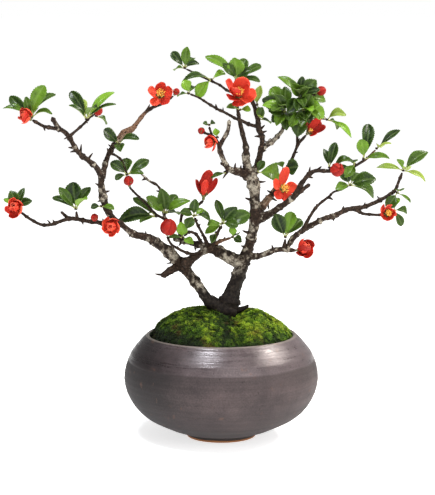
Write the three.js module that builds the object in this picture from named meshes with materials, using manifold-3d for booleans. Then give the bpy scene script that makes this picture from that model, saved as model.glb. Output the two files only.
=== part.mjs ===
// Chojubai flowering quince bonsai in a round stoneware pot.
// Millimetres, +Z up, +X to the right of the front view, -Y towards the viewer.
// The origin is the middle of the pot's foot, on the surface that it stands on.
import * as THREE from "three";
import { mergeVertices } from "three/addons/utils/BufferGeometryUtils.js";
import Module from "manifold-3d";

const wasm = await Module();
wasm.setup();

// Driving dimensions
const gap = 0.3; // between two pieces that rest on each other
// Where the front view was seen from, in the numbers that the tables of the tree use
const viewDistance = 1480;
const viewHeight = 363;
const viewSide = -4.2;
// How the tree of the tables stands in the pot: leaned to the left about a height, and shifted
const lean = THREE.MathUtils.degToRad(0.8);
const leanHeight = 163.7;
const shift = { x: 1, z: -2 };

const pot = {
  height: 88,
  bellyRadius: 82.2,
  mouthRadius: 60.9,
  wall: 6,
  floorTop: 12,
  footRadius: 29.2,
  footInner: 24.2,
  footRecess: 4,
  drainRadius: 6,
  sides: 22,
};
const screen = { radius: 11, thick: 0.8, hole: 2.4, pitch: 4 };
const soilTop = 82;
const moss = {
  rimLevel: 86.4,
  moundHeight: 22.6,
  mounds: [
    { x: -16, radius: 46, squash: 0.8, power: 2.4 }, // broad, on the left
    { x: 26, radius: 36, squash: 0.66, power: 1.4 }, // steeper, on the right
  ],
  edgePower: 6, // how near its edge the moss begins to fall
  edgeRise: 2.2,
  tuft: 1.1,
  wander: 0.8,
  rings: 6,
  sides: 24,
};
const mossTop = moss.rimLevel + moss.moundHeight;
const bark = { uneven: 0.22, thornRadius: 1.25, tipBulge: 0.9 };
const spur = {
  share: 0.07, // of the places along the limbs
  radius: 0.9,
  shortest: 1.6,
  longest: 4,
  forward: 0.3, // how far it leans along its limb
  thickestLimb: 4.4,
  lowest: mossTop + 12,
};
const leaf = { thick: 0.7, wave: 0.35, heart: 1.7, sunk: 0.9 };
const heartHeight = 1.3; // of its width
const petal = {
  thick: 0.65,
  wave: 0.3,
  twist: 0.42, // its slope: it passes over one neighbour and under the other
  sunk: 0.7,
  apart: 1.1,
};
const calyx = { low: 1.1, high: 2.3, sides: 5 };
const stamens = { heart: 1.5, radius: 0.75, round: 6, lean: 0.55, leanSpread: 0.2 };
const bud = { stalk: 1, cupShare: 0.72, long: 1.08, folds: 4, fold: 0.09, foldTwist: 2.5 };

// Materials
const finish = (color, roughness, metalness = 0) =>
  new THREE.MeshStandardMaterial({ color, roughness, metalness });
const materials = {
  stoneware: finish(0x5c4f52, 0.42, 0.1),
  screen: finish(0x2b2b2b, 0.7),
  soil: finish(0x3b2a1e, 1),
  moss: finish(0x5f8a1f, 1),
  bark: finish(0x6b5f56, 0.85),
  leaf: finish(0x2f6b22, 0.45),
  youngLeaf: finish(0x7ba238, 0.5),
  petal: finish(0xe0301c, 0.55),
  stamen: finish(0xe9b93c, 0.7),
};

// Solids
const group = new THREE.Group();

function solidOf(geometry) {
  const bare = new THREE.BufferGeometry();
  bare.setAttribute("position", geometry.getAttribute("position"));
  if (geometry.index) bare.setIndex(geometry.index);
  const merged = mergeVertices(bare, 1e-4);
  return new wasm.Manifold(
    new wasm.Mesh({
      numProp: 3,
      vertProperties: new Float32Array(merged.attributes.position.array),
      triVerts: new Uint32Array(merged.index.array),
    }),
  );
}

function geometryOf(solid) {
  const mesh = solid.getMesh();
  const geometry = new THREE.BufferGeometry();
  geometry.setAttribute("position", new THREE.BufferAttribute(mesh.vertProperties, 3));
  geometry.setIndex(new THREE.BufferAttribute(mesh.triVerts, 1));
  return geometry;
}

// The largest body of a solid: a scrap that a cut leaves loose is dropped.
function largestBody(solid) {
  const bodies = solid.decompose();
  bodies.sort((a, b) => b.volume() - a.volume());
  return bodies[0];
}

function place(name, solid, material) {
  const mesh = new THREE.Mesh(geometryOf(largestBody(solid)), material);
  mesh.name = name;
  group.add(mesh);
}

function join(solids) {
  return solids.reduce((all, next) => all.add(next));
}

// A closed geometry from vertices and triangles, both given as plain lists.
function closed(vertices, triangles) {
  const geometry = new THREE.BufferGeometry();
  const flat = vertices.flatMap((v) => [v.x, v.y, v.z]);
  geometry.setAttribute("position", new THREE.Float32BufferAttribute(flat, 3));
  geometry.setIndex(triangles.flat());
  return geometry;
}

// A point that is seen at x, z in the front view, at a depth behind the pot's axis.
function seen(x, z, depth) {
  const aside = x - viewSide;
  const above = z - leanHeight;
  const leanedX = aside * Math.cos(lean) - above * Math.sin(lean);
  const leanedZ = leanHeight + aside * Math.sin(lean) + above * Math.cos(lean);
  const reach = 1 + depth / viewDistance;
  return new THREE.Vector3(
    viewSide + shift.x + reach * leanedX,
    depth,
    viewHeight + shift.z + reach * (leanedZ - viewHeight),
  );
}

// A repeatable value from 0 to 1 for each pair of numbers.
function scatter(a, b) {
  const wave = Math.sin(a * 127.1 + b * 311.7) * 43758.5453;
  return wave - Math.floor(wave);
}

// A solid turned about Z from a profile of [radius, z] points.
function turned(profile, sides) {
  const points = profile.map(([r, z]) => new THREE.Vector2(r, z));
  const geometry = new THREE.LatheGeometry(points, sides);
  geometry.rotateX(Math.PI / 2);
  return solidOf(geometry);
}

// Pot
function potProfile() {
  const { bellyRadius: belly, footRadius: foot, mouthRadius: mouth } = pot;
  const outside = [
    [foot, 0],
    [foot + 0.4, 4.6],
    [belly * 0.438, 5.4],
    [belly * 0.523, 7.6],
    [belly * 0.614, 11],
    [belly * 0.759, 17.2],
    [belly * 0.861, 24.2],
    [belly * 0.937, 33],
    [belly * 0.984, 42],
    [belly, 52],
    [belly * 0.981, 62],
    [belly * 0.933, 72],
    [belly * 0.861, 80],
    [belly * 0.809, 84.8],
    [mouth + 3, 87.2],
    [mouth + 1.7, pot.height],
    [mouth, 87.3],
  ];
  const inside = [
    [mouth + 2.4, 82.7],
    [belly * 0.933 - pot.wall, 71],
    [belly - pot.wall, 53],
    [belly * 0.937 - pot.wall, 34.5],
    [belly * 0.759 - pot.wall, 19],
    [belly * 0.523 - pot.wall, pot.floorTop],
    [pot.drainRadius, pot.floorTop],
    [pot.drainRadius, pot.footRecess],
    [pot.footInner - 0.6, pot.footRecess],
    [pot.footInner + 0.4, 0],
  ];
  return { outside, inside };
}

function makePot() {
  const { outside, inside } = potProfile();
  return turned([...outside, ...inside, outside[0]], pot.sides);
}

// The net over the drain hole
function makeScreen() {
  const low = pot.floorTop + gap;
  const high = low + screen.thick;
  const disc = turned([[0, low], [screen.radius, low], [screen.radius, high], [0, high]], 12);
  const holes = [];
  for (const [column, row] of [[0, 0], [1, 0], [0, 1], [-1, 0], [0, -1]]) {
    const hole = new THREE.BoxGeometry(screen.hole, screen.hole, 4 * screen.thick);
    hole.translate(column * screen.pitch, row * screen.pitch, low);
    holes.push(solidOf(hole));
  }
  return disc.subtract(join(holes));
}

// Soil up to the moss, with its clearance to the wall of the pot
function makeSoil() {
  const low = pot.floorTop + gap + screen.thick + gap;
  const wall = potProfile()
    .inside.slice(0, 5)
    .map(([r, z]) => [r - gap - 0.15, z])
    .filter(([, z]) => z < soilTop)
    .reverse();
  const floorRadius = pot.bellyRadius * 0.523 - pot.wall - gap;
  const profile = [[0, low], [floorRadius, low], ...wall, [pot.mouthRadius - 1, soilTop], [0, soilTop]];
  return turned(profile, pot.sides);
}

// Height of the moss over two mounds that meet in a valley
function mossHeight(x, y) {
  const heights = moss.mounds.map(
    (one) => 1 - (Math.hypot(x - one.x, one.squash * y) / one.radius) ** one.power,
  );
  const mound = Math.max(...heights, 0);
  const outward = Math.hypot(x, y) / (pot.mouthRadius - 0.5);
  const inside = Math.max(0, 1 - outward ** moss.edgePower);
  return moss.rimLevel + moss.moundHeight * mound * Math.min(1, moss.edgeRise * inside);
}

function makeMoss() {
  const reach = pot.mouthRadius - gap - 0.2;
  const low = soilTop + gap;
  const vertices = [];
  const triangles = [];
  const ringStart = (ring) => 1 + (ring - 1) * moss.sides;
  vertices.push(new THREE.Vector3(0, 0, mossHeight(0, 0)));
  for (let ring = 1; ring <= moss.rings; ring++) {
    for (let side = 0; side < moss.sides; side++) {
      const edge = ring === moss.rings;
      const wander = edge ? 0 : 2 * moss.wander * (scatter(ring, side) - 0.5);
      const radius = (reach * ring) / moss.rings + wander;
      const turn = (2 * Math.PI * (side + 0.5 * (ring % 2))) / moss.sides;
      const x = radius * Math.cos(turn);
      const y = radius * Math.sin(turn);
      const tuft = edge ? 0 : 2 * moss.tuft * (scatter(side + 7, ring) - 0.5);
      vertices.push(new THREE.Vector3(x, y, mossHeight(x, y) + tuft));
    }
  }
  for (let side = 0; side < moss.sides; side++) {
    triangles.push([0, 1 + side, 1 + ((side + 1) % moss.sides)]);
  }
  for (let ring = 1; ring < moss.rings; ring++) {
    for (let side = 0; side < moss.sides; side++) {
      const next = (side + 1) % moss.sides;
      const inner = ringStart(ring);
      const outer = ringStart(ring + 1);
      if (ring % 2) {
        triangles.push([inner + side, outer + side, outer + next]);
        triangles.push([inner + side, outer + next, inner + next]);
      } else {
        triangles.push([inner + side, outer + side, inner + next]);
        triangles.push([inner + next, outer + side, outer + next]);
      }
    }
  }
  const rim = ringStart(moss.rings);
  const foot = vertices.length;
  for (let side = 0; side < moss.sides; side++) {
    const top = vertices[rim + side];
    vertices.push(new THREE.Vector3(top.x, top.y, low));
  }
  const middle = vertices.length;
  vertices.push(new THREE.Vector3(0, 0, low));
  for (let side = 0; side < moss.sides; side++) {
    const next = (side + 1) % moss.sides;
    triangles.push([rim + side, foot + side, foot + next]);
    triangles.push([rim + side, foot + next, rim + next]);
    triangles.push([middle, foot + next, foot + side]);
  }
  return solidOf(closed(vertices, triangles));
}

// Wood. Each limb is a list of [x, z, depth, radius] in the front view, from its root to its end.
// The last word says how it ends: cut off square, or drawn to a tip. One with no word ends inside
// the limb that goes on from it.
const limbs = {
  trunk: [
    [2, 72, 0, 7.6],
    [2, 96, 0, 8.2],
    [3, 106, 0, 8.6],
    [4.5, 114, 0, 8],
    [6.5, 121, 0, 6.9],
    [9, 129, 0, 6.3],
    [12, 137, 0, 5.5],
    [15, 145, 1, 5.4],
    [17.5, 152, 2, 5.5],
    [20.5, 159, 2, 4.8],
    [23, 166, 1, 4],
    [25, 174, 0, 4],
    [27, 182, 0, 4.2],
    [28, 190, 0, 4.6],
    [27.5, 199, 1, 3.7],
    [27.5, 207, 1, 4.5],
    [27, 214, 0, 5],
    [25.5, 221, 0, 5.2],
    [22.5, 228, 0, 4.2, "tip"],
  ],
  leftLimb: [
    [0, 110, 0, 7],
    [-8, 115.5, -2, 5.2],
    [-13.5, 120, -3, 4.3],
    [-18, 126.5, -3, 4.1],
    [-22.5, 133, -2, 3.9],
    [-27, 139.5, -1, 3.8],
    [-31.5, 145.5, 0, 4.3],
    [-36.5, 151, 0, 5.2],
    [-42, 157, -2, 4.6],
    [-48, 163, -4, 4.2],
    [-54, 167.5, -6, 3.8],
    [-60, 171.5, -8, 3.6],
    [-67, 174, -11, 3.1],
    [-73, 175.5, -14, 2.9],
    [-78, 178.5, -16, 2.5],
    [-83, 183, -18, 2.1],
    [-88, 187, -20, 2.1],
    [-92.5, 191, -22, 2.3],
    [-96.5, 197, -23, 2.7],
    [-99, 205, -24, 2.9],
    [-100.5, 213, -25, 3],
    [-101, 221, -26, 2.6],
    [-100, 229, -27, 2.7, "tip"],
  ],
  farLeft: [
    [-100.5, 225, -27, 2.4],
    [-105, 233, -28, 2.2],
    [-111, 238.5, -29, 2],
    [-118, 244, -31, 1.9],
    [-123, 251, -33, 1.8],
    [-128, 260, -34, 1.9],
    [-134, 265, -35, 1.9],
    [-141, 266.5, -34, 1.6],
    [-148, 268, -33, 1.4],
    [-157, 273, -32, 1.2, "tip"],
  ],
  farLeftStub: [
    [-134, 264, -35, 1.8],
    [-138, 270, -36, 1.8],
    [-140.5, 274.5, -37, 1.7, "cut"],
  ],
  farLeftTwig: [
    [-127, 259, -34, 1.4],
    [-121, 264, -31, 1.1],
    [-114, 270, -26, 1.1],
    [-109, 275, -23, 1],
    [-105.5, 277.3, -21, 0.9, "tip"],
  ],
  nearLeft: [
    [-100, 224, -27, 2.4],
    [-98, 233, -24, 2.2],
    [-95, 242, -17, 2.1],
    [-91, 249, -10, 2],
    [-86, 256, -4, 2.4],
    [-80, 262, 2, 3],
    [-74, 265, 8, 2.4],
    [-69, 271, 13, 1.7],
    [-63, 278, 18, 1.5],
    [-56, 283, 22, 1.3],
    [-51, 288.5, 25, 1.2, "tip"],
  ],
  nearLeftBudTwig: [
    [-58, 282, 21, 1.2],
    [-48, 285.5, 23, 1],
    [-39.5, 291.5, 22, 0.9, "tip"],
  ],
  hangingTwig: [
    [-94, 245, -14, 1.3],
    [-89, 243, -12, 1],
    [-84, 239, -12, 1],
    [-81, 231.5, -14, 0.9, "tip"],
  ],
  lowLeft: [
    [-87, 186.5, -20, 1.8],
    [-97, 185, -19, 1.8],
    [-105, 186.5, -20, 1.8],
    [-113, 187.5, -21, 1.7],
    [-120, 189, -22, 1.7],
    [-128, 190, -23, 1.7],
    [-137, 187.5, -24, 1.5],
    [-145, 185, -25, 1.4],
    [-152, 185, -26, 1.3],
    [-159, 188.5, -27, 1.2],
    [-165, 192.5, -28, 1.1],
    [-171, 197.5, -29, 1, "tip"],
  ],
  lowLeftStub: [
    [-128, 189, -23, 1.4],
    [-132, 192.5, -22, 1.3],
    [-135, 195.5, -22, 1.2, "cut"],
  ],
  lowLeftSpur: [
    [-122, 188, -22, 1.5],
    [-122.5, 195.5, -22, 1.2, "tip"],
  ],
  lowLeftBud: [
    [-103, 185.5, -20, 1.3],
    [-105.5, 187.5, -24, 1.2],
    [-107.3, 190.3, -26, 2.4, "tip"],
  ],
  cutStub: [
    [-34, 149.5, 0, 3.6],
    [-42, 146, -4, 3.2],
    [-47, 143, -7, 2.9],
    [-50.5, 140.5, -9, 2.7, "cut"],
  ],
  middleLeft: [
    [17, 150, 1, 5],
    [9, 153.5, 1, 4.9],
    [2, 157, 0, 4.5],
    [-5, 161, 0, 4.2],
    [-11, 162.5, 0, 4],
    [-16, 161, -1, 3.2],
    [-20.5, 157.5, -4, 2.6],
    [-25.5, 154.5, -7, 3],
    [-29, 152, -9, 4.2],
    [-31.5, 150.5, -12, 4.3, "cut"],
  ],
  silverLimb: [
    [-11, 163.5, 0, 3],
    [-20, 166, 2, 2.6],
    [-27, 168, 4, 2.3],
    [-34, 170, 6, 2.2],
    [-39, 171.5, 7, 1.8],
    [-43, 178, 9, 1.3],
    [-47, 186, 10, 1.3],
    [-49, 193, 10, 1.4],
    [-50, 201, 9, 1.1],
    [-50, 210, 8, 1],
    [-54, 217, 8, 1],
    [-60, 220.5, 9, 1],
    [-65, 224.5, 10, 0.9],
    [-69, 229.5, 11, 0.8, "tip"],
  ],
  budTwig: [
    [-47.5, 188, 10, 1.2],
    [-56, 193, 6, 1.1],
    [-63, 201, 1, 1],
    [-70, 208, -5, 1],
    [-74.5, 212.5, -9, 1],
    [-77, 215.5, -12, 0.9, "tip"],
  ],
  risingTwig: [
    [-34, 169, 6, 1.6],
    [-36, 177, 2, 1.4],
    [-35, 185, -2, 1.3],
    [-34, 191, -4, 1.2],
    [-31, 196, -6, 1.2],
    [-26, 196.5, -8, 1.1],
    [-22, 198.5, -10, 1.1],
    [-18, 201.5, -12, 1.1],
    [-15.7, 203.6, -13, 1.1, "tip"],
  ],
  arcTwig: [
    [-14, 160.5, 0, 1.8],
    [-23, 158.3, -6, 1.4],
    [-30, 159.5, -11, 1.3],
    [-37, 163, -14, 1.2],
    [-43, 167, -15, 1.1],
    [-46.5, 173.4, -15, 1, "tip"],
  ],
  hookTwig: [
    [-16, 164, 2, 1.6],
    [-19.5, 171, -1, 1.4],
    [-22.5, 175.5, -3, 1.3],
    [-28, 177, -5, 1.2],
    [-32, 174, -6, 1.1, "tip"],
  ],
  paleTwig: [
    [-12, 164, 0, 1.8],
    [-15, 172, -5, 1.3],
    [-18, 178, -9, 1.2],
    [-21, 184, -12, 1.1],
    [-23, 189, -14, 1, "tip"],
  ],
  spurTwig: [
    [-9, 164, -1, 2],
    [-6, 172, -5, 1.5],
    [-3, 178, -8, 1.2],
    [-0.5, 182, -10, 1.1, "tip"],
  ],
  brownTwig: [
    [-9, 163, 1, 2],
    [-3, 168.5, 2, 1.4],
    [3, 170.5, 1, 1.2],
    [7, 171.7, 0, 1, "tip"],
  ],
  lowRight: [
    [18, 157, 2, 3.6],
    [25, 155.8, 0, 2.8],
    [31, 156, -3, 2.5],
    [37, 158, -6, 2.4],
    [43, 160.5, -9, 2.3],
    [50, 161.3, -12, 2.2],
    [56, 160.8, -14, 2.1],
    [61.5, 160.3, -16, 1.6, "tip"],
  ],
  lowRightSpur: [
    [51, 160, -12, 1.8],
    [52.3, 165, -13, 1.5],
    [53, 169.5, -13, 1.3, "tip"],
  ],
  outerRise: [
    [52, 160.5, -12, 1.9],
    [56.5, 166, -9, 1.9],
    [59.5, 170.8, -5, 2.4],
    [64, 174.5, 0, 1.9],
    [69, 178.5, 5, 2.1],
  ],
  outerRight: [
    [66, 176, 2, 2],
    [73, 180.3, 8, 2.3],
    [80, 184, 12, 2.2],
    [86, 187.3, 16, 2.3],
    [93, 188.7, 20, 2.2],
    [99, 191.3, 24, 2],
    [105, 194.3, 28, 2.1],
    [112, 195.5, 32, 2.1],
    [119, 196.3, 36, 1.9],
    [126, 198.8, 40, 1.8],
    [133, 202, 44, 1.7],
    [140, 206, 48, 1.5],
    [146, 211, 52, 1.3],
    [148.5, 217, 55, 1.2],
    [151.5, 224.5, 58, 1.1, "tip"],
  ],
  outerLeafSpur: [
    [143, 207.5, 50, 1.3],
    [146.5, 209.5, 47, 1, "tip"],
  ],
  bloomTwig: [
    [109, 195.3, 30, 1.7],
    [115, 192.6, 31, 1.4],
    [119, 190.6, 32, 1.3],
    [126, 189.8, 33, 1.2],
    [134, 189.6, 35, 1.1],
    [143, 193, 40, 1, "tip"],
  ],
  thornyTwig: [
    [67.5, 176.5, 4, 1.8],
    [71.5, 184.5, 5, 1.4],
    [75.5, 191.5, 5, 1.4],
    [80, 197.5, 6, 1.2],
    [84.5, 201.5, 7, 1.1],
    [90, 205.5, 8, 1.1],
    [93.5, 209, 8, 1],
    [99, 211, 9, 1],
    [106, 214, 11, 1, "tip"],
  ],
  upperRight: [
    [26, 185, 0, 3.8],
    [34, 188.5, -4, 3.3],
    [41, 192, -8, 2.8],
    [48, 196.5, -12, 2.4],
    [54, 200.5, -15, 2.3],
    [60, 205.5, -18, 2.2],
    [64, 211, -20, 2.2],
    [68, 218, -22, 2],
    [73, 224, -24, 1.9],
    [79, 227.5, -26, 1.7],
    [86, 227.3, -27, 1.6],
    [92, 227.3, -27, 1.5],
    [98, 227.8, -25, 1.3],
    [105, 229, -23, 1.2],
    [111, 230.5, -22, 1.2],
    [117, 234, -21, 1.1],
    [122, 237, -20, 1],
    [129, 244, -20, 0.9, "tip"],
  ],
  upperRightStub: [
    [60, 205.5, -18, 2],
    [67, 211, -21, 1.6],
    [73.5, 215.7, -24, 1.5, "cut"],
  ],
  upperRightBud: [
    [91, 227, -27, 1.3],
    [94, 227.6, -31, 1, "tip"],
  ],
  backRight: [
    [27, 189, 1, 3.6],
    [33, 197, 6, 3],
    [38.5, 203.5, 11, 2.8],
    [43, 209, 16, 2.4],
    [47, 216, 20, 2],
    [51, 223, 23, 1.8],
    [55, 230, 25, 1.6],
    [59, 237, 26, 1.4],
    [61.5, 243, 26, 1.3],
    [64.8, 250.5, 25, 1.4],
    [68, 254, 22, 1.2],
    [71, 257.3, 20, 1.1, "tip"],
  ],
  starTwig: [
    [41.5, 206.5, 14, 1.7],
    [46, 211, 8, 1.3],
    [49, 212, 4, 1.1, "tip"],
  ],
  crownRight: [
    [64.3, 249, 25, 1.4],
    [63.8, 256, 26, 1.1],
    [64, 262, 26, 1.2],
    [65, 270, 26, 1.1],
    [66, 278, 26, 1.2],
    [66.5, 286, 26, 1.5],
    [72, 290, 24, 1.1],
    [79.5, 291, 22, 0.9, "tip"],
  ],
  paleLeafTwig: [
    [65.5, 275, 26, 1.1],
    [74, 274, 29, 1],
    [81, 272, 31, 0.9],
    [87, 270.5, 31, 0.8, "tip"],
  ],
  middle: [
    [24, 225, 0, 3.8],
    [21.5, 233, -1, 3.4],
    [20.8, 240, -2, 3],
    [21, 246, -3, 2.2],
    [19.8, 253, -4, 1.9],
    [18, 260, -5, 1.8],
    [16.5, 267, -6, 1.9],
    [15.3, 273, -8, 1.5],
    [14.3, 280, -10, 1.3],
    [14, 284.5, -11, 1.2, "tip"],
  ],
  crownLeft: [
    [22.5, 224, 0, 4],
    [16, 227.5, -2, 3.2],
    [10, 228.5, -5, 2.6],
    [5.5, 231, -8, 2.3],
    [2.5, 236, -10, 2.1],
    [0, 242, -11, 2.1],
    [-1.5, 247.5, -12, 2],
    [0.5, 252.5, -12, 1.8],
    [3.5, 257.5, -12, 1.7],
    [6, 263, -12, 1.6],
    [7, 270, -11, 1.5, "cut"],
  ],
  crownLeftStub: [
    [5, 232, -9, 1.7],
    [0, 235, -11, 1.3, "cut"],
  ],
  crownLeftTwig: [
    [-1.3, 248, -12, 1.5],
    [-3.5, 254, -12, 1.2],
    [-7, 258, -13, 1.1],
    [-12.8, 260.2, -14, 1],
    [-16, 262.3, -14, 2.3, "tip"],
  ],
  crownLeftShoot: [
    [-7, 257, -13, 1],
    [-9, 263, -13, 0.9],
    [-9.7, 265.5, -13, 0.8, "tip"],
  ],
  right: [
    [25, 225, 1, 3.8],
    [30, 231.5, 5, 2.8],
    [31.5, 237, 8, 2.5],
    [33, 244, 11, 2.4],
    [34.5, 251, 14, 2.2],
    [34.3, 257, 16, 2.2],
    [32, 262.5, 17, 2.6],
    [31.2, 269, 18, 1.9],
    [29.8, 276, 19, 1.8],
    [28, 283, 20, 1.7],
    [24, 291, 19, 1.3],
    [19, 298, 16, 1.2],
    [14.5, 302.5, 13, 1.1, "tip"],
  ],
  topTwig: [
    [24, 289, 19, 1.3],
    [14, 293, 15, 1.2],
    [6, 295.5, 12, 1.1],
    [0, 300, 9, 1],
    [-6, 303, 8, 1],
    [-13, 306.3, 8, 0.9],
    [-20, 310, 9, 0.9],
    [-28, 313.8, 10, 0.8, "tip"],
  ],
  crossTwig: [
    [32, 265, 17, 1.6],
    [24, 267, 12, 1.5],
    [18, 270, 6, 1.4],
    [12, 272.5, 2, 1.3],
    [5, 276.5, 0, 1.2],
    [-3, 280.5, -2, 1.1],
    [-11, 285.5, -4, 1],
    [-18, 290, -5, 0.9],
    [-25, 293, -6, 0.8, "tip"],
  ],
  paleLimb: [
    [34.5, 247, 13, 2.2],
    [39, 250.5, 15, 2.2],
    [44, 253.5, 18, 2],
    [48, 257.5, 20, 1.8],
    [51.5, 262, 22, 1.6],
    [53, 268, 22, 1.4],
    [54, 275, 22, 1.2, "tip"],
  ],
  rootStub: [
    [5, 108, 0, 3.4],
    [12, 109.8, -2, 2.4],
    [19, 112.2, -4, 1.6],
    [20.8, 113.8, -4, 1.2, "cut"],
  ],
};

// Sides and length of step of a limb, by its thickest place
function limbGrain(knots) {
  const widest = Math.max(...knots.map((knot) => knot[3]));
  if (widest > 4.5) return { sides: 8, step: 11.5 };
  if (widest > 3) return { sides: 6, step: 15.5 };
  return { sides: widest > 2 ? 5 : 4, step: 18 };
}

// The middle line and the radii of a limb, at even steps along a smooth curve
function runOf(knots) {
  const points = knots.map(([x, z, depth]) => seen(x, z, depth));
  const curve = new THREE.CatmullRomCurve3(points, false, "centripetal");
  const count = Math.max(2, Math.round(curve.getLength() / limbGrain(knots).step));
  const run = [];
  for (let i = 0; i <= count; i++) {
    const u = (i / count) * (knots.length - 1);
    const low = Math.min(Math.floor(u), knots.length - 2);
    const radius = THREE.MathUtils.lerp(knots[low][3], knots[low + 1][3], u - low);
    run.push({ point: curve.getPoint(i / count), radius });
  }
  return run;
}

// A limb as a closed tube, uneven like grown wood. Grown by some millimetres, it is its clearance.
function limbSolid(knots, seed, grow) {
  const run = runOf(knots);
  const { sides } = limbGrain(knots);
  const vertices = [];
  const triangles = [];
  const side = new THREE.Vector3(0.3, 1, 0.2);
  run.forEach(({ point, radius }, ring) => {
    const ahead = run[Math.min(ring + 1, run.length - 1)].point;
    const behind = run[Math.max(ring - 1, 0)].point;
    const along = ahead.clone().sub(behind).normalize();
    side.addScaledVector(along, -side.dot(along)).normalize();
    const other = along.clone().cross(side);
    for (let corner = 0; corner < sides; corner++) {
      const turn = (2 * Math.PI * corner) / sides;
      const uneven = 1 + bark.uneven * (scatter(seed + ring, corner) - 0.5);
      const reach = radius * uneven + grow;
      const vertex = point.clone();
      vertex.addScaledVector(side, reach * Math.cos(turn));
      vertex.addScaledVector(other, reach * Math.sin(turn));
      vertices.push(vertex);
    }
  });
  for (let ring = 0; ring < run.length - 1; ring++) {
    for (let corner = 0; corner < sides; corner++) {
      const next = (corner + 1) % sides;
      const low = ring * sides;
      const high = low + sides;
      triangles.push([low + corner, low + next, high + corner]);
      triangles.push([low + next, high + next, high + corner]);
    }
  }
  const last = run.length - 1;
  const root = vertices.length;
  const outward = run[last].point.clone().sub(run[last - 1].point).normalize();
  const inward = run[1].point.clone().sub(run[0].point).normalize();
  const ending = knots.at(-1)[4];
  const bulge = ending === "tip" ? run[last].radius * bark.tipBulge : 0.2;
  vertices.push(run[0].point.clone().addScaledVector(inward, -grow));
  vertices.push(run[last].point.clone().addScaledVector(outward, bulge + grow));
  for (let corner = 0; corner < sides; corner++) {
    const next = (corner + 1) % sides;
    triangles.push([root, next, corner]);
    triangles.push([root + 1, last * sides + corner, last * sides + next]);
  }
  return solidOf(closed(vertices, triangles));
}

// A spike from a root to a tip, with the root sunk in what it grows from
function spike(root, tip, radius, sides) {
  const along = tip.clone().sub(root);
  const cone = new THREE.ConeGeometry(radius, along.length(), sides, 1);
  cone.translate(0, along.length() / 2, 0);
  const turn = new THREE.Quaternion().setFromUnitVectors(
    new THREE.Vector3(0, 1, 0),
    along.clone().normalize(),
  );
  cone.applyQuaternion(turn);
  cone.translate(root.x, root.y, root.z);
  return solidOf(cone);
}

// Thorns that the front view shows: [x, z, depth] of the root, [x, z, depth] of the tip
const thorns = [
  [[-64, 173, -10], [-64.5, 178.5, -11]],
  [[-61, 171, -8], [-61, 166.5, -10]],
  [[-101, 217, -26], [-106, 219.5, -27]],
  [[-99, 206, -24], [-104.5, 204, -25]],
  [[-99, 212, -25], [-94, 213, -26]],
  [[-122, 249, -32], [-128, 250, -34]],
  [[-121, 247, -32], [-126.5, 246, -31]],
  [[-118, 244, -31], [-117, 252.5, -32]],
  [[-112, 239, -29], [-107.5, 245, -28]],
  [[-94, 243, -17], [-95.5, 249, -18]],
  [[-62, 279, 19], [-59, 285, 18]],
  [[-63, 223, 10], [-67, 221.5, 8]],
  [[-50, 211, 8], [-55, 212.5, 6]],
  [[-50, 141, -8], [-57.5, 142, -11]],
  [[-37, 151.5, 0], [-47.5, 150.5, -3]],
  [[-23, 167, 3], [-23, 161, 2]],
  [[-34, 169, 6], [-37, 165.5, 4]],
  [[11, 229, -4], [12, 235, -5]],
  [[16, 228, -2], [16.5, 233, -4]],
  [[7, 229.5, -7], [1.5, 227.5, -9]],
  [[6, 229, -7], [1, 222, -10]],
  [[24, 204, 0], [19.5, 205.5, -3]],
  [[30, 219, 1], [37, 219, -1]],
  [[43, 209, 15], [38, 211.5, 13]],
  [[22, 176, -2], [17, 178, -5]],
  [[20, 164, 0], [15.5, 165, -4]],
  [[-3, 280, -2], [-4, 284.5, -4]],
  [[33, 257, 15], [28, 257, 12]],
  [[33, 263, 17], [36.8, 266.5, 15]],
  [[34, 260, 16], [38.5, 261.5, 14]],
  [[43, 160, -9], [41.5, 165.5, -11]],
  [[57, 168, -8], [62, 170.5, -11]],
  [[89.5, 205, 8], [93.5, 202.8, 6]],
  [[73.5, 224, -24], [74.4, 231, -25]],
  [[72.5, 223, -24], [77, 221.5, -26]],
  [[80, 227.5, -26], [84, 231.3, -27]],
  [[38, 202, 10], [39.5, 195.5, 8]],
  [[41, 206, 13], [36.5, 207, 12]],
  [[41, 206, 13], [46.5, 202.5, 10]],
  [[101, 192.5, 25], [102.5, 197.5, 24]],
];

// Where small spurs grow by rule, so that the tree is thorny on all its sides
function scatteredSpurs() {
  const spurs = [];
  Object.values(limbs).forEach((knots, seed) => {
    const run = runOf(knots);
    run.slice(1, -1).forEach(({ point, radius }, i) => {
      if (scatter(seed + 3, i) > spur.share) return;
      if (radius > spur.thickestLimb || point.z < spur.lowest) return;
      const turn = 2 * Math.PI * scatter(i + 5, seed);
      const length = radius + THREE.MathUtils.lerp(spur.shortest, spur.longest, scatter(seed, i + 9));
      const ahead = run[i + 2].point.clone().sub(point).normalize();
      const side = new THREE.Vector3(Math.cos(turn), Math.sin(turn), 0.35);
      side.addScaledVector(ahead, spur.forward - side.dot(ahead)).normalize();
      const tip = point.clone().addScaledVector(side, length);
      spurs.push({ root: point, tip, radius: Math.min(spur.radius, radius * 0.6) });
    });
  });
  return spurs;
}

function makeWood(grow) {
  const tubes = Object.values(limbs).map((knots, i) => limbSolid(knots, 17 * i, grow));
  const spikes = thorns.map(([root, tip]) => {
    const from = seen(...root);
    const to = seen(...tip);
    const along = to.clone().sub(from).normalize();
    return spike(from, to.addScaledVector(along, grow), bark.thornRadius + grow, 3);
  });
  const spurs = scatteredSpurs().map(({ root, tip, radius }) => spike(root, tip, radius + grow, 3));
  return join([...tubes, ...spikes, ...spurs]);
}

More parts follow.
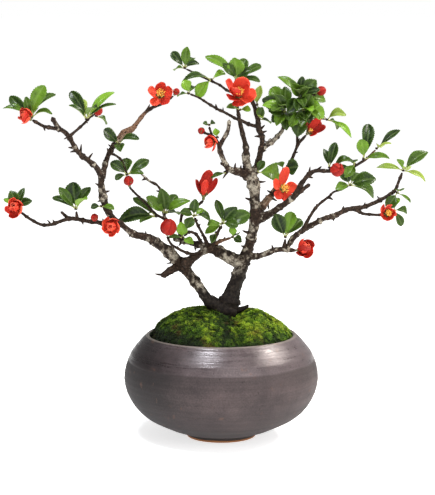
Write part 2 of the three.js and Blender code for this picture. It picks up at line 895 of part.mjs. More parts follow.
// Blades. An outline goes from the root to the tip as [share of the length, share of the half
// width], with the teeth of a leaf cut in its edge.
const outlines = {
  largeLeaf: [[0, 0.11], [0.4, 0.84], [0.56, 1.02], [0.65, 0.84], [0.83, 0.76]],
  leaf: [[0, 0.13], [0.45, 0.98], [0.58, 0.84], [0.8, 0.76]],
  smallLeaf: [[0, 0.2], [0.5, 1], [0.78, 0.74]],
  narrowLeaf: [[0, 0.24], [0.56, 1]],
  petal: [[0, 0.24], [0.52, 0.96], [0.87, 0.8]],
};

// A blade that is one closed body: its lower face is its upper face moved down by the thickness.
// Arch lifts the middle of the length, and wave raises and lowers the edge from place to place.
// Grown by some millimetres, it is its own clearance.
function blade({ root, tip, face, width, outline, thick, arch, wave, grow = 0 }) {
  const length = tip.distanceTo(root);
  const along = tip.clone().sub(root).normalize();
  const up = face.clone().addScaledVector(along, -face.dot(along)).normalize();
  const side = along.clone().cross(up);
  const at = (share, across, ripple) => {
    const rise = 4 * arch * length * share * (1 - share) + ripple + grow;
    const point = root.clone().addScaledVector(along, share * length);
    point.addScaledVector(side, across * (width / 2 + grow));
    return point.addScaledVector(up, rise);
  };
  const top = [];
  outline.forEach(([share, half], i) => {
    const ripple = i % 2 ? wave / 2 : -wave / 2;
    top.push(at(share, -half, ripple), at(share, half, -ripple));
  });
  const end = top.length;
  top.push(at(1, 0, 0));
  const count = top.length;
  const faces = [];
  for (let i = 0; i + 3 < end; i += 2) {
    faces.push([i, i + 1, i + 3]);
    faces.push([i, i + 3, i + 2]);
  }
  faces.push([end - 2, end - 1, end]);
  const rim = [];
  for (let i = 1; i < end; i += 2) rim.push(i);
  rim.push(end);
  for (let i = end - 2; i >= 0; i -= 2) rim.push(i);
  const bottom = top.map((point) => point.clone().addScaledVector(up, -thick - 2 * grow));
  const triangles = [...faces, ...faces.map(([a, b, c]) => [a + count, c + count, b + count])];
  rim.forEach((here, i) => {
    const next = rim[(i + 1) % rim.length];
    triangles.push([here, here + count, next + count]);
    triangles.push([here, next + count, next]);
  });
  return solidOf(closed([...top, ...bottom], triangles));
}

// Leafy sprays. The heart is where the leaves of a spur meet, as [x, z, depth]. A leaf is
// [x, z, depth] of its tip, its width, how far its face turns to the viewer in degrees, and its arch.
const sprays = {
  farLeftTuft: {
    heart: [-158, 275.5, -32],
    leaves: [
      [-181, 285, -34, 7, 25, 0.12],
      [-175.5, 294.5, -28, 8, 60, 0.08],
      [-162, 292, -39, 6, 55, 0.08],
      [-147, 302, -36, 10, 70, 0.1],
      [-139, 296.5, -25, 6, 35, 0.12],
      [-141, 279, -33, 6, 20, 0.2],
    ],
  },
  leftForkTuft: {
    heart: [-112.3, 273.8, -26.2],
    leaves: [
      [-124.5, 296, -25, 11, 70, 0.06],
      [-111, 292, -19, 6, 60, 0.05],
      [-126, 285.5, -33, 6, 30, 0.1],
      [-90, 297.5, -20, 7, 40, 0.12],
      [-103, 284, -42, 8, 20, 0.1],
    ],
  },
  lowLeftTuft: {
    heart: [-172, 199.5, -29],
    leaves: [
      [-177.5, 214, -30, 8, 70, 0.06],
      [-166, 217, -24, 5, 50, 0.06],
      [-160.5, 206, -36, 7, 45, 0.1],
    ],
  },
  lowLeftSpurTuft: {
    heart: [-122.7, 198, -22],
    leaves: [
      [-124.5, 220.5, -24, 12, 72, 0.06],
      [-110.5, 216.5, -18, 7, 50, 0.06],
      [-136, 216.5, -28, 7, 55, 0.06],
      [-142, 209, -19, 6, 35, 0.1],
    ],
  },
  tanLimbTuft: {
    heart: [-85.5, 252.5, -7.5],
    leaves: [
      [-97.5, 264.5, -16, 9, 60, 0.08],
      [-70, 258, -18, 6, 40, 0.14],
    ],
  },
  hangingTuft: {
    heart: [-81.3, 229.8, -14.5],
    leaves: [
      [-93.5, 237, -18, 5, 45, 0.06],
      [-60.5, 239.5, -9, 6, 40, 0.1],
      [-65.5, 231, -21, 5, 45, 0.1],
    ],
  },
  clump: {
    heart: [-48, 193, 7.5],
    leaves: [
      [-50.5, 214, 1, 10, 75, 0.06],
      [-62, 207, -2, 9, 60, 0.1],
      [-27.5, 204.5, 3, 8, 45, 0.1],
      [-38, 209, 12, 8, 50, 0.06],
      [-36.5, 193, 20, 8, 30, 0.1],
    ],
  },
  darkPair: {
    heart: [-55.5, 190.7, 4],
    leaves: [
      [-87, 189, -4, 11, 60, 0.16],
      [-70.5, 187.5, 10, 7, 50, 0.05],
      [-74.5, 207.5, 14, 7, 40, 0.1],
    ],
  },
  hookTuft: {
    heart: [-33, 172.5, -7],
    leaves: [
      [-34.5, 184.5, -15, 8, 65, 0.08],
    ],
  },
  innerTuft: {
    heart: [-23.5, 191, -15],
    leaves: [
      [-22.5, 204, -21, 7, 60, 0.06],
      [-9.5, 186.5, -17, 7, 35, 0.22],
      [-34.5, 194.5, -20, 7, 55, 0.1],
      [-30, 181, -22, 8, 60, 0.08],
    ],
  },
  spurTuft: {
    heart: [0.2, 184, -11],
    leaves: [
      [23, 192.5, -13, 11, 72, 0.08],
      [12, 197.5, -16, 9, 70, 0.06],
      [-4.5, 204, -10, 6, 55, 0.06],
      [13, 182.5, -19, 8, 55, 0.1],
      [-12, 183, -19, 7, 45, 0.1],
      [-14.5, 176.5, -15, 6, 60, 0.1],
    ],
  },
  brownTwigTuft: {
    heart: [8.5, 172.3, 0],
    leaves: [
      [16, 168.5, -7, 6, 60, 0.12],
      [9.5, 181, -2, 6, 60, 0.08],
    ],
  },
  topTip: {
    heart: [-29.5, 314.8, 10],
    leaves: [
      [-39.5, 328.5, 10, 7, 50, 0.06],
      [-27, 331.8, 5, 7, 60, 0.06],
      [-17.5, 319.5, 15, 6, 40, 0.08],
      [-38, 313.5, 20, 6, 25, 0.1],
      [-22, 324, 24, 7, 30, 0.08],
    ],
  },
  topTwigLeaves: {
    heart: [-7.2, 304.9, 7.6],
    leaves: [
      [-20, 291, 1, 9, 65, 0.1],
      [-30, 307, -2, 6, 40, 0.14],
      [4, 311, 14, 6, 40, 0.1],
    ],
  },
  crossTip: {
    heart: [-26.5, 293.7, -6.3],
    leaves: [
      [-30.5, 304.5, -9, 8, 62, 0.06],
    ],
  },
  crownTuft: {
    heart: [13.5, 304.5, 12.5],
    leaves: [
      [12, 322.5, 8, 13, 75, 0.05],
      [-10.5, 325.5, 11, 8, 45, 0.08],
      [21, 322, 16, 8, 60, 0.05],
      [34, 316.5, 18, 7, 40, 0.08],
      [33, 303.5, 8, 7, 40, 0.1],
      [18, 310, 32, 9, 15, 0.1],
    ],
  },
  roundLeafLeft: {
    heart: [30, 226.5, -2.5],
    leaves: [
      [49.5, 226, 8, 13, 80, 0.04],
      [36, 236, -7, 6, 60, 0.08],
    ],
  },
  roundLeafRight: {
    heart: [52.2, 229.5, 23.5],
    leaves: [
      [64, 231.5, 16, 12, 78, 0.05],
    ],
  },
  lowRightPair: {
    heart: [53, 171.7, -13],
    leaves: [
      [46, 191.5, -17, 13, 78, 0.04],
      [58.5, 192, -12, 10, 75, 0.05],
      [67, 187, -6, 8, 60, 0.08],
      [58, 180, 6, 8, 15, 0.1],
    ],
  },
  outerTip: {
    heart: [152.3, 226.8, 58.5],
    leaves: [
      [173, 243, 62, 9, 55, 0.1],
      [131, 231, 54, 6, 45, 0.08],
      [172, 218.5, 60, 6, 40, 0.08],
      [155, 229, 76, 8, 20, 0.1],
    ],
  },
  outerLeaf: {
    heart: [147.5, 208.2, 46],
    leaves: [
      [138.5, 195, 44, 9, 70, 0.05],
    ],
  },
  bloomTwigTuft: {
    heart: [144.8, 193.5, 41],
    leaves: [
      [156, 190.5, 43, 7, 45, 0.22],
      [151.5, 180.5, 36, 6, 65, 0.08],
      [148, 204, 52, 6, 30, 0.1],
    ],
  },
  thornyTip: {
    heart: [107.5, 215, 11.5],
    leaves: [
      [129, 220.5, 5, 12, 62, 0.14],
      [129, 205, 18, 8, 45, 0.16],
      [102.5, 231.5, 4, 10, 65, 0.06],
      [96.5, 213, 2, 7, 55, 0.1],
      [116, 226, 26, 8, 20, 0.1],
    ],
  },
  fanLeaf: {
    heart: [90.5, 229.7, -28],
    leaves: [
      [95.5, 250, -27, 9, 75, 0.03],
    ],
  },
  archedPair: {
    heart: [112, 233.2, -24],
    leaves: [
      [96, 234.5, -20, 7, 40, 0.3],
      [104, 222, -32, 8, 60, 0.08],
    ],
  },
  uprightPair: {
    heart: [119.2, 237, -22.6],
    leaves: [
      [117, 253, -26, 9, 65, 0.04],
      [123.5, 266.5, -17, 9, 68, 0.08],
      [140.5, 238, -29, 7, 40, 0.1],
    ],
  },
  rightShoot: {
    heart: [130.3, 245.6, -20],
    leaves: [
      [149.5, 261.5, -17, 6, 45, 0.05],
      [134, 247, -6, 6, 20, 0.1],
    ],
  },
  oliveUpright: {
    heart: [30.5, 283.5, 20.5],
    leaves: [
      [33.5, 299, 17, 6, 65, 0.05],
      [35, 272.5, 13, 6, 70, 0.05],
      [27, 290, 34, 7, 20, 0.1],
    ],
  },
  crownHeart: {
    heart: [54.2, 277, 21],
    leaves: [
      [35.5, 288, 14, 13, 68, 0.06],
      [43.5, 298, 22, 11, 66, 0.06],
      [40.5, 278.5, 9, 10, 62, 0.08],
      [43, 270, 12, 8, 55, 0.1],
      [54, 298, 20, 9, 65, 0.05],
      [55, 262.5, 8, 9, 65, 0.05],
      [49, 284, 40, 9, 20, 0.1],
    ],
  },
  crownEast: {
    heart: [68, 278, 24],
    leaves: [
      [74.5, 291, 9, 11, 70, 0.05],
      [87.5, 275.5, 27, 10, 58, 0.12],
      [74.5, 268.5, 13, 9, 60, 0.1],
      [64, 257, 15, 12, 70, 0.05],
      [72, 284, 44, 9, 20, 0.1],
    ],
  },
  crownNorth: {
    heart: [66, 288.5, 24],
    leaves: [
      [48.5, 307, 27, 7, 35, 0.14],
      [68.5, 306, 20, 6, 60, 0.05],
      [79.5, 304, 25, 10, 62, 0.06],
      [88, 286.5, 30, 9, 60, 0.1],
      [56.5, 277.5, 6, 11, 75, 0.05],
      [61, 296, 42, 8, 20, 0.1],
    ],
  },
  paleLeaf: {
    heart: [88.7, 270.3, 31.5],
    leaves: [
      [104.5, 274.5, 28, 8, 45, 0.24],
      [75.5, 277.5, 32, 6, 45, 0.2],
      [110, 256.5, 27, 6, 38, 0.14],
      [98, 263.5, 45, 7, 30, 0.14],
    ],
  },
};

const youngSprays = ["oliveUpright", "paleLeaf", "rightShoot"];

function leafOutline(width) {
  if (width >= 10) return outlines.largeLeaf;
  if (width >= 9) return outlines.leaf;
  return width > 5 ? outlines.smallLeaf : outlines.narrowLeaf;
}

function leafSolid(root, [x, z, depth, width, turn, arch]) {
  const angle = THREE.MathUtils.degToRad(turn);
  return blade({
    root,
    tip: seen(x, z, depth),
    face: new THREE.Vector3(0, -Math.sin(angle), Math.cos(angle)),
    width,
    outline: leafOutline(width),
    thick: leaf.thick,
    arch,
    wave: leaf.wave,
  });
}

// A small solid heart that the roots of the leaves sink in to
function heartSolid(centre, radius) {
  const bulb = new THREE.OctahedronGeometry(radius, 0);
  bulb.scale(1, 1, heartHeight);
  bulb.translate(centre.x, centre.y, centre.z);
  return solidOf(bulb);
}

function spraySolid({ heart, leaves }) {
  const centre = seen(...heart);
  const sunk = (one) => {
    const outward = seen(one[0], one[1], one[2]).sub(centre).normalize();
    return centre.clone().addScaledVector(outward, leaf.sunk);
  };
  return join([heartSolid(centre, leaf.heart), ...leaves.map((one) => leafSolid(sunk(one), one))]);
}

// Blooms. Base is where the calyx meets the wood and throat is where the petals meet, both as
// [x, z, depth]. A petal is [x, z, depth] of its tip and its width. Cup is how far it hollows.
const blooms = {
  leftBloom: {
    base: [-50.5, 290, 23.5],
    throat: [-50.3, 292.5, 18],
    cup: 0.07,
    petals: [
      [-60, 297.5, 12, 9.5],
      [-49.5, 303.5, 13, 8.5],
      [-39.5, 297, 12, 9],
      [-43.5, 285.5, 11, 8.5],
      [-57, 284.5, 11, 8],
    ],
    tuft: { centre: [-50.2, 292.7, 16.3], length: 6.6 },
  },
  crownBloom: {
    base: [14, 285.3, -11.6],
    throat: [15, 291, -17],
    cup: 0.07,
    petals: [
      [19.5, 306.5, -21, 13],
      [30, 291.5, -22, 13],
      [5, 304, -22, 12],
      [7.5, 288.5, -24, 12],
      [18, 282.5, -24, 13],
      [25, 299, -27, 10],
      [11.5, 297.5, -28, 9],
    ],
    tuft: { centre: [15.2, 291.3, -19], length: 7.4 },
  },
  starBloom: {
    base: [49.5, 212.2, 2.5],
    throat: [51.5, 212.8, -3],
    cup: 0.07,
    petals: [
      [54, 231.5, -8, 8.5],
      [43, 219, -9, 8],
      [64, 214.5, -9, 9],
      [46, 204.5, -9, 7.5],
      [57.5, 201.5, -9, 8.5],
    ],
    tuft: { centre: [51.6, 212.9, -4.7], length: 6.6 },
  },
  outerBloom: {
    base: [136.4, 190.3, 35.7],
    throat: [138.8, 190.8, 30],
    cup: 0.10,
    petals: [
      [133.5, 195, 24, 9.5],
      [136, 186, 24, 9],
      [143.5, 186.5, 24, 9],
      [145.5, 193, 25, 9.5],
      [139.5, 197.5, 25, 9.5],
    ],
    tuft: { centre: [138.9, 190.9, 28.4], length: 4.8 },
  },
  farLeftBloom: {
    base: [-158.5, 273.4, -35.5],
    throat: [-161, 275.5, -38],
    cup: 0.12,
    petals: [
      [-168, 281.5, -41, 8.5],
      [-169, 275, -41, 8.5],
      [-162, 283, -43, 8],
      [-163.5, 271.5, -44, 8.5],
      [-165.5, 277, -47, 8],
    ],
  },
  endBloomLeft: {
    base: [-171, 197.5, -30.3],
    throat: [-173, 199.5, -36],
    cup: 0.10,
    petals: [
      [-178.5, 206.5, -40, 8.5],
      [-168.5, 197, -44, 8],
      [-176.5, 190.5, -40, 8.5],
      [-182.5, 197.5, -39, 8],
      [-171, 206, -43, 8],
    ],
  },
  lowLeftBloom: {
    base: [-92, 185.8, -21],
    throat: [-93, 184, -28],
    cup: 0.12,
    petals: [
      [-100.5, 186.5, -33, 9.5],
      [-98.5, 177.5, -34, 9.5],
      [-91.5, 174.5, -34, 9],
      [-86, 181, -33, 9.5],
      [-92, 189.5, -35, 9.5],
    ],
  },
  smallBloom: {
    base: [-4, 251.8, -14.5],
    throat: [-7, 252, -17],
    cup: 0.12,
    petals: [
      [-13.5, 255.5, -20, 8.5],
      [-13, 248, -20, 8.5],
      [-6, 246.8, -22, 8],
      [-5.5, 257, -22, 8],
    ],
  },
  lowRightBloom: {
    base: [62.8, 160.4, -17.5],
    throat: [65.5, 161.3, -20],
    cup: 0.10,
    petals: [
      [68, 169.5, -25, 9.5],
      [77, 167.5, -21, 10],
      [76.5, 158, -22, 10],
      [67, 155, -25, 9],
      [72, 163, -31, 9],
    ],
  },
  halfOpenRight: {
    base: [71.7, 258.2, 18.8],
    throat: [73.5, 260, 16.5],
    cup: 0.10,
    petals: [
      [83, 272.5, 13, 6.5],
      [75.5, 271.5, 17, 7],
      [87.5, 265, 16, 5.5],
      [80, 258.5, 11, 6],
      [84, 268, 24, 6.5],
    ],
  },
  hangingTrumpet: {
    base: [-15.6, 204.3, -13.4],
    throat: [-15, 208.5, -15.5],
    cup: 0.10,
    petals: [
      [-10.5, 229.5, -14, 9],
      [-21.5, 221.5, -16, 7.5],
      [-3.4, 222.5, -17, 5],
      [-14, 221, -24, 8],
      [-15.5, 222, -7, 7],
    ],
  },
};

const buds = {
  leftBud: { base: [-104.3, 278, -21], centre: [-102.6, 280.3, -21], radius: 3.9 },
  smallBudLeft: { base: [-38.7, 292.2, 22], centre: [-36.7, 295.2, 22], radius: 2.7 },
  smallBudRight: { base: [80.2, 291.5, 21.8], centre: [84, 294.3, 21], radius: 3.9 },
  roundBudRight: { base: [94.3, 227.7, -32.2], centre: [97, 228.2, -37], radius: 5.6 },
  hangingBud: { base: [-77.3, 216, -12.7], centre: [-78, 221.3, -14.4], radius: 4 },
  roundRedBud: { base: [-46.4, 174.4, -15.4], centre: [-45.4, 181.5, -17], radius: 6.8 },
};

// A cup from one point to another, narrow at its root
function cupSolid(from, to, low, high) {
  const along = to.clone().sub(from);
  const cup = new THREE.CylinderGeometry(high, low, along.length(), calyx.sides, 1);
  cup.translate(0, along.length() / 2, 0);
  const turn = new THREE.Quaternion().setFromUnitVectors(
    new THREE.Vector3(0, 1, 0),
    along.normalize(),
  );
  cup.applyQuaternion(turn);
  cup.translate(from.x, from.y, from.z);
  return solidOf(cup);
}

function bloomSolid({ base, throat, petals, cup }, grow = 0) {
  const from = seen(...base);
  const to = seen(...throat);
  const axis = to.clone().sub(from).normalize();
  const blades = petals.map(([x, z, depth, width]) => {
    const tip = seen(x, z, depth);
    const outward = tip.clone().sub(to);
    outward.addScaledVector(axis, -outward.dot(axis)).normalize();
    const root = to.clone().addScaledVector(axis, -petal.sunk).addScaledVector(outward, petal.apart);
    const round = outward.clone().cross(axis);
    return blade({
      root,
      tip,
      face: axis.clone().addScaledVector(round, petal.twist),
      width,
      outline: outlines.petal,
      thick: petal.thick,
      arch: -cup,
      wave: petal.wave,
      grow,
    });
  });
  return join([cupSolid(from, to, calyx.low + grow, calyx.high + grow), ...blades]);
}

// The tuft of stamens in an open bloom: one in the middle, and the others leaning out round it
function tuftSolid({ base, throat, tuft }) {
  const centre = seen(...tuft.centre);
  const axis = seen(...throat).sub(seen(...base)).normalize();
  const side = new THREE.Vector3(0, 0, 1).cross(axis).normalize();
  const other = axis.clone().cross(side);
  const filaments = [];
  for (let i = 0; i <= stamens.round; i++) {
    const turn = (2 * Math.PI * i) / stamens.round;
    const tilt = i === stamens.round ? 0 : stamens.lean + stamens.leanSpread * scatter(i, tuft.length);
    const tip = centre.clone().addScaledVector(axis, tuft.length * Math.cos(tilt));
    tip.addScaledVector(side, tuft.length * Math.sin(tilt) * Math.cos(turn));
    tip.addScaledVector(other, tuft.length * Math.sin(tilt) * Math.sin(turn));
    filaments.push(spike(centre, tip, stamens.radius, 3));
  }
  return join([heartSolid(centre, stamens.heart), ...filaments]);
}

// A closed bud: petals wrapped round each other, in a small cup
function budSolid({ base, centre, radius }) {
  const from = seen(...base);
  const to = seen(...centre);
  const axis = to.clone().sub(from).normalize();
  const ball = new THREE.SphereGeometry(radius, 2 * bud.folds, 4);
  const places = ball.attributes.position;
  for (let i = 0; i < places.count; i++) {
    const turn = Math.atan2(places.getZ(i), places.getX(i));
    const height = places.getY(i) / radius;
    const fold = bud.fold * Math.cos(bud.folds * turn + bud.foldTwist * height);
    const swell = 1 + fold * (1 - height * height);
    places.setXYZ(i, places.getX(i) * swell, places.getY(i) * bud.long, places.getZ(i) * swell);
  }
  ball.applyQuaternion(new THREE.Quaternion().setFromUnitVectors(new THREE.Vector3(0, 1, 0), axis));
  ball.translate(to.x, to.y, to.z);
  return join([solidOf(ball), cupSolid(from, to, bud.stalk, radius * bud.cupShare)]);
}

// The whole tree in its pot. What rests on the wood is cut clear of it by the gap.
const woodClearance = makeWood(gap);
place("pot", makePot(), materials.stoneware);
place("drain_screen", makeScreen(), materials.screen);
place("soil", makeSoil().subtract(woodClearance), materials.soil);
place("moss", makeMoss().subtract(woodClearance), materials.moss);
place("wood", makeWood(0), materials.bark);
for (const [name, spray] of Object.entries(sprays)) {
  const material = youngSprays.includes(name) ? materials.youngLeaf : materials.leaf;
  place("leaves_" + name, spraySolid(spray).subtract(woodClearance), material);
}
for (const [name, bloom] of Object.entries(blooms)) {
  place("bloom_" + name, bloomSolid(bloom).subtract(woodClearance), materials.petal);
  if (bloom.tuft) {
    const tuft = tuftSolid(bloom).subtract(bloomSolid(bloom, gap));
    place("stamens_" + name, tuft, materials.stamen);
  }
}
for (const [name, one] of Object.entries(buds)) {
  place("bud_" + name, budSolid(one).subtract(woodClearance), materials.petal);
}

export default group;
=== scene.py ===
import math

import bpy
import numpy as np
from mathutils import Matrix, Vector, noise


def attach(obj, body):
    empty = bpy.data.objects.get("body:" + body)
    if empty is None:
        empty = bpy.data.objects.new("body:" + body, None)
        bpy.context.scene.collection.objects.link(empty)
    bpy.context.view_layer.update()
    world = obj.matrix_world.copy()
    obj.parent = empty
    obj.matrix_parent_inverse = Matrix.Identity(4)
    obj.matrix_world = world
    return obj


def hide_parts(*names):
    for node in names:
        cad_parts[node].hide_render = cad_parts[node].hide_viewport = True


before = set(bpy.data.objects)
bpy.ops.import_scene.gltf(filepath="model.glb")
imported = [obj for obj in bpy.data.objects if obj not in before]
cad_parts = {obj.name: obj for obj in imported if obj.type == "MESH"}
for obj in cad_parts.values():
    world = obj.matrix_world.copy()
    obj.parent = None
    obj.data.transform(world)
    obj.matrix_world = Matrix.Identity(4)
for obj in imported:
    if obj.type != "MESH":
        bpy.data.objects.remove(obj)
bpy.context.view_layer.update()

MM = 0.001
VIEW_DISTANCE = 1480.0  # of the camera from the axis of the pot
VIEW_HEIGHT = 363.0
VIEW_SIDE = -4.2
VIEW_PITCH = 7.67  # degrees down
VIEW_FOCUS = 1770.0  # focal length in pixels of the photograph
PHOTO_SIZE = (435, 495)
LEAN = math.radians(0.8)  # how far the tree of the tables leans to the left in the pot
LEAN_HEIGHT = 163.7  # the height that it leans about
SHIFT_SIDE = 1.0  # how far it stands to the right
SHIFT_UP = -2.0

POT = {
    "height": 88, "belly": 82.2, "rim": 63.0, "mouth": 60.9, "wall": 6, "floor": 12,
    "foot": 29.2, "foot_inner": 24.2, "foot_recess": 4, "drain": 6,
}
POT_SIDES = 144
THROWN = (8, 87)  # heights between which the outside shows turning rings
RIDGE = 50  # height of a faint ridge round the belly
MOSS = {"rim": 86.4, "height": 22.6, "bottom": 82.4, "radius": 60.4}
MOUNDS = [(-16, 46, 0.8, 2.4), (26, 36, 0.66, 1.4)]  # x, radius, squash, power
MOSS_EDGE = 4  # width of the rim of the moss, where its cushions flatten out
MOSS_ROWS = 46
MOSS_SIDES = 120
BED_DEPTH = 2.7  # how far the bed of the moss lies under the mound
SHOOT_DEPTH = 2.4  # how far the roots of the shoots do
SHOOTS = 6200
SHOOT_LEAVES = 7
GOLDEN_TURN = math.pi * (3 - math.sqrt(5))
FINE_LIMB = 2.6  # largest radius of a limb that gets the finer steps
KNOBBLY_LIMB = 3  # and of one whose knots stand out more
SPURRED_LIMB = 4.4  # and of one that has spurs
SPUR_HEIGHT = 123.0  # from which on limbs have spurs
SPUR_SHARE = 0.62  # of the places along a limb that have a bud or a thorn
SPUR_THORNS = 0.16  # of the places that have a thorn
TIP_SHARE = 0.72  # radius that is left at the end of a tapered limb
LEAF_ROWS = 29
LEAF_LANES = np.array([-1.0, -0.8, -0.5, -0.22, 0.0, 0.22, 0.5, 0.8, 1.0])
LEAF_THICK = 0.34
LEAF_WIDEN = 1.13  # how much wider a leaf is than in the table
LEAF_ARCH = 0.08  # of a leaf without one in the table, as a share of its length
VEINS = 6.5  # side veins from the root to the tip
SPRAY_BUDS = 5
PETAL_ROWS = 15
PETAL_LANES = np.linspace(-1, 1, 11)
CALYX_LOBES = 5
INNER_PETALS = 5
TUFT_STAMENS = 26
TRUMPET_STAMENS = 9
STAMEN_TURN = 2.39996
BUD_ROWS = 13
BUD_LAYERS = 5
FLOOR_HALF = 80  # metres

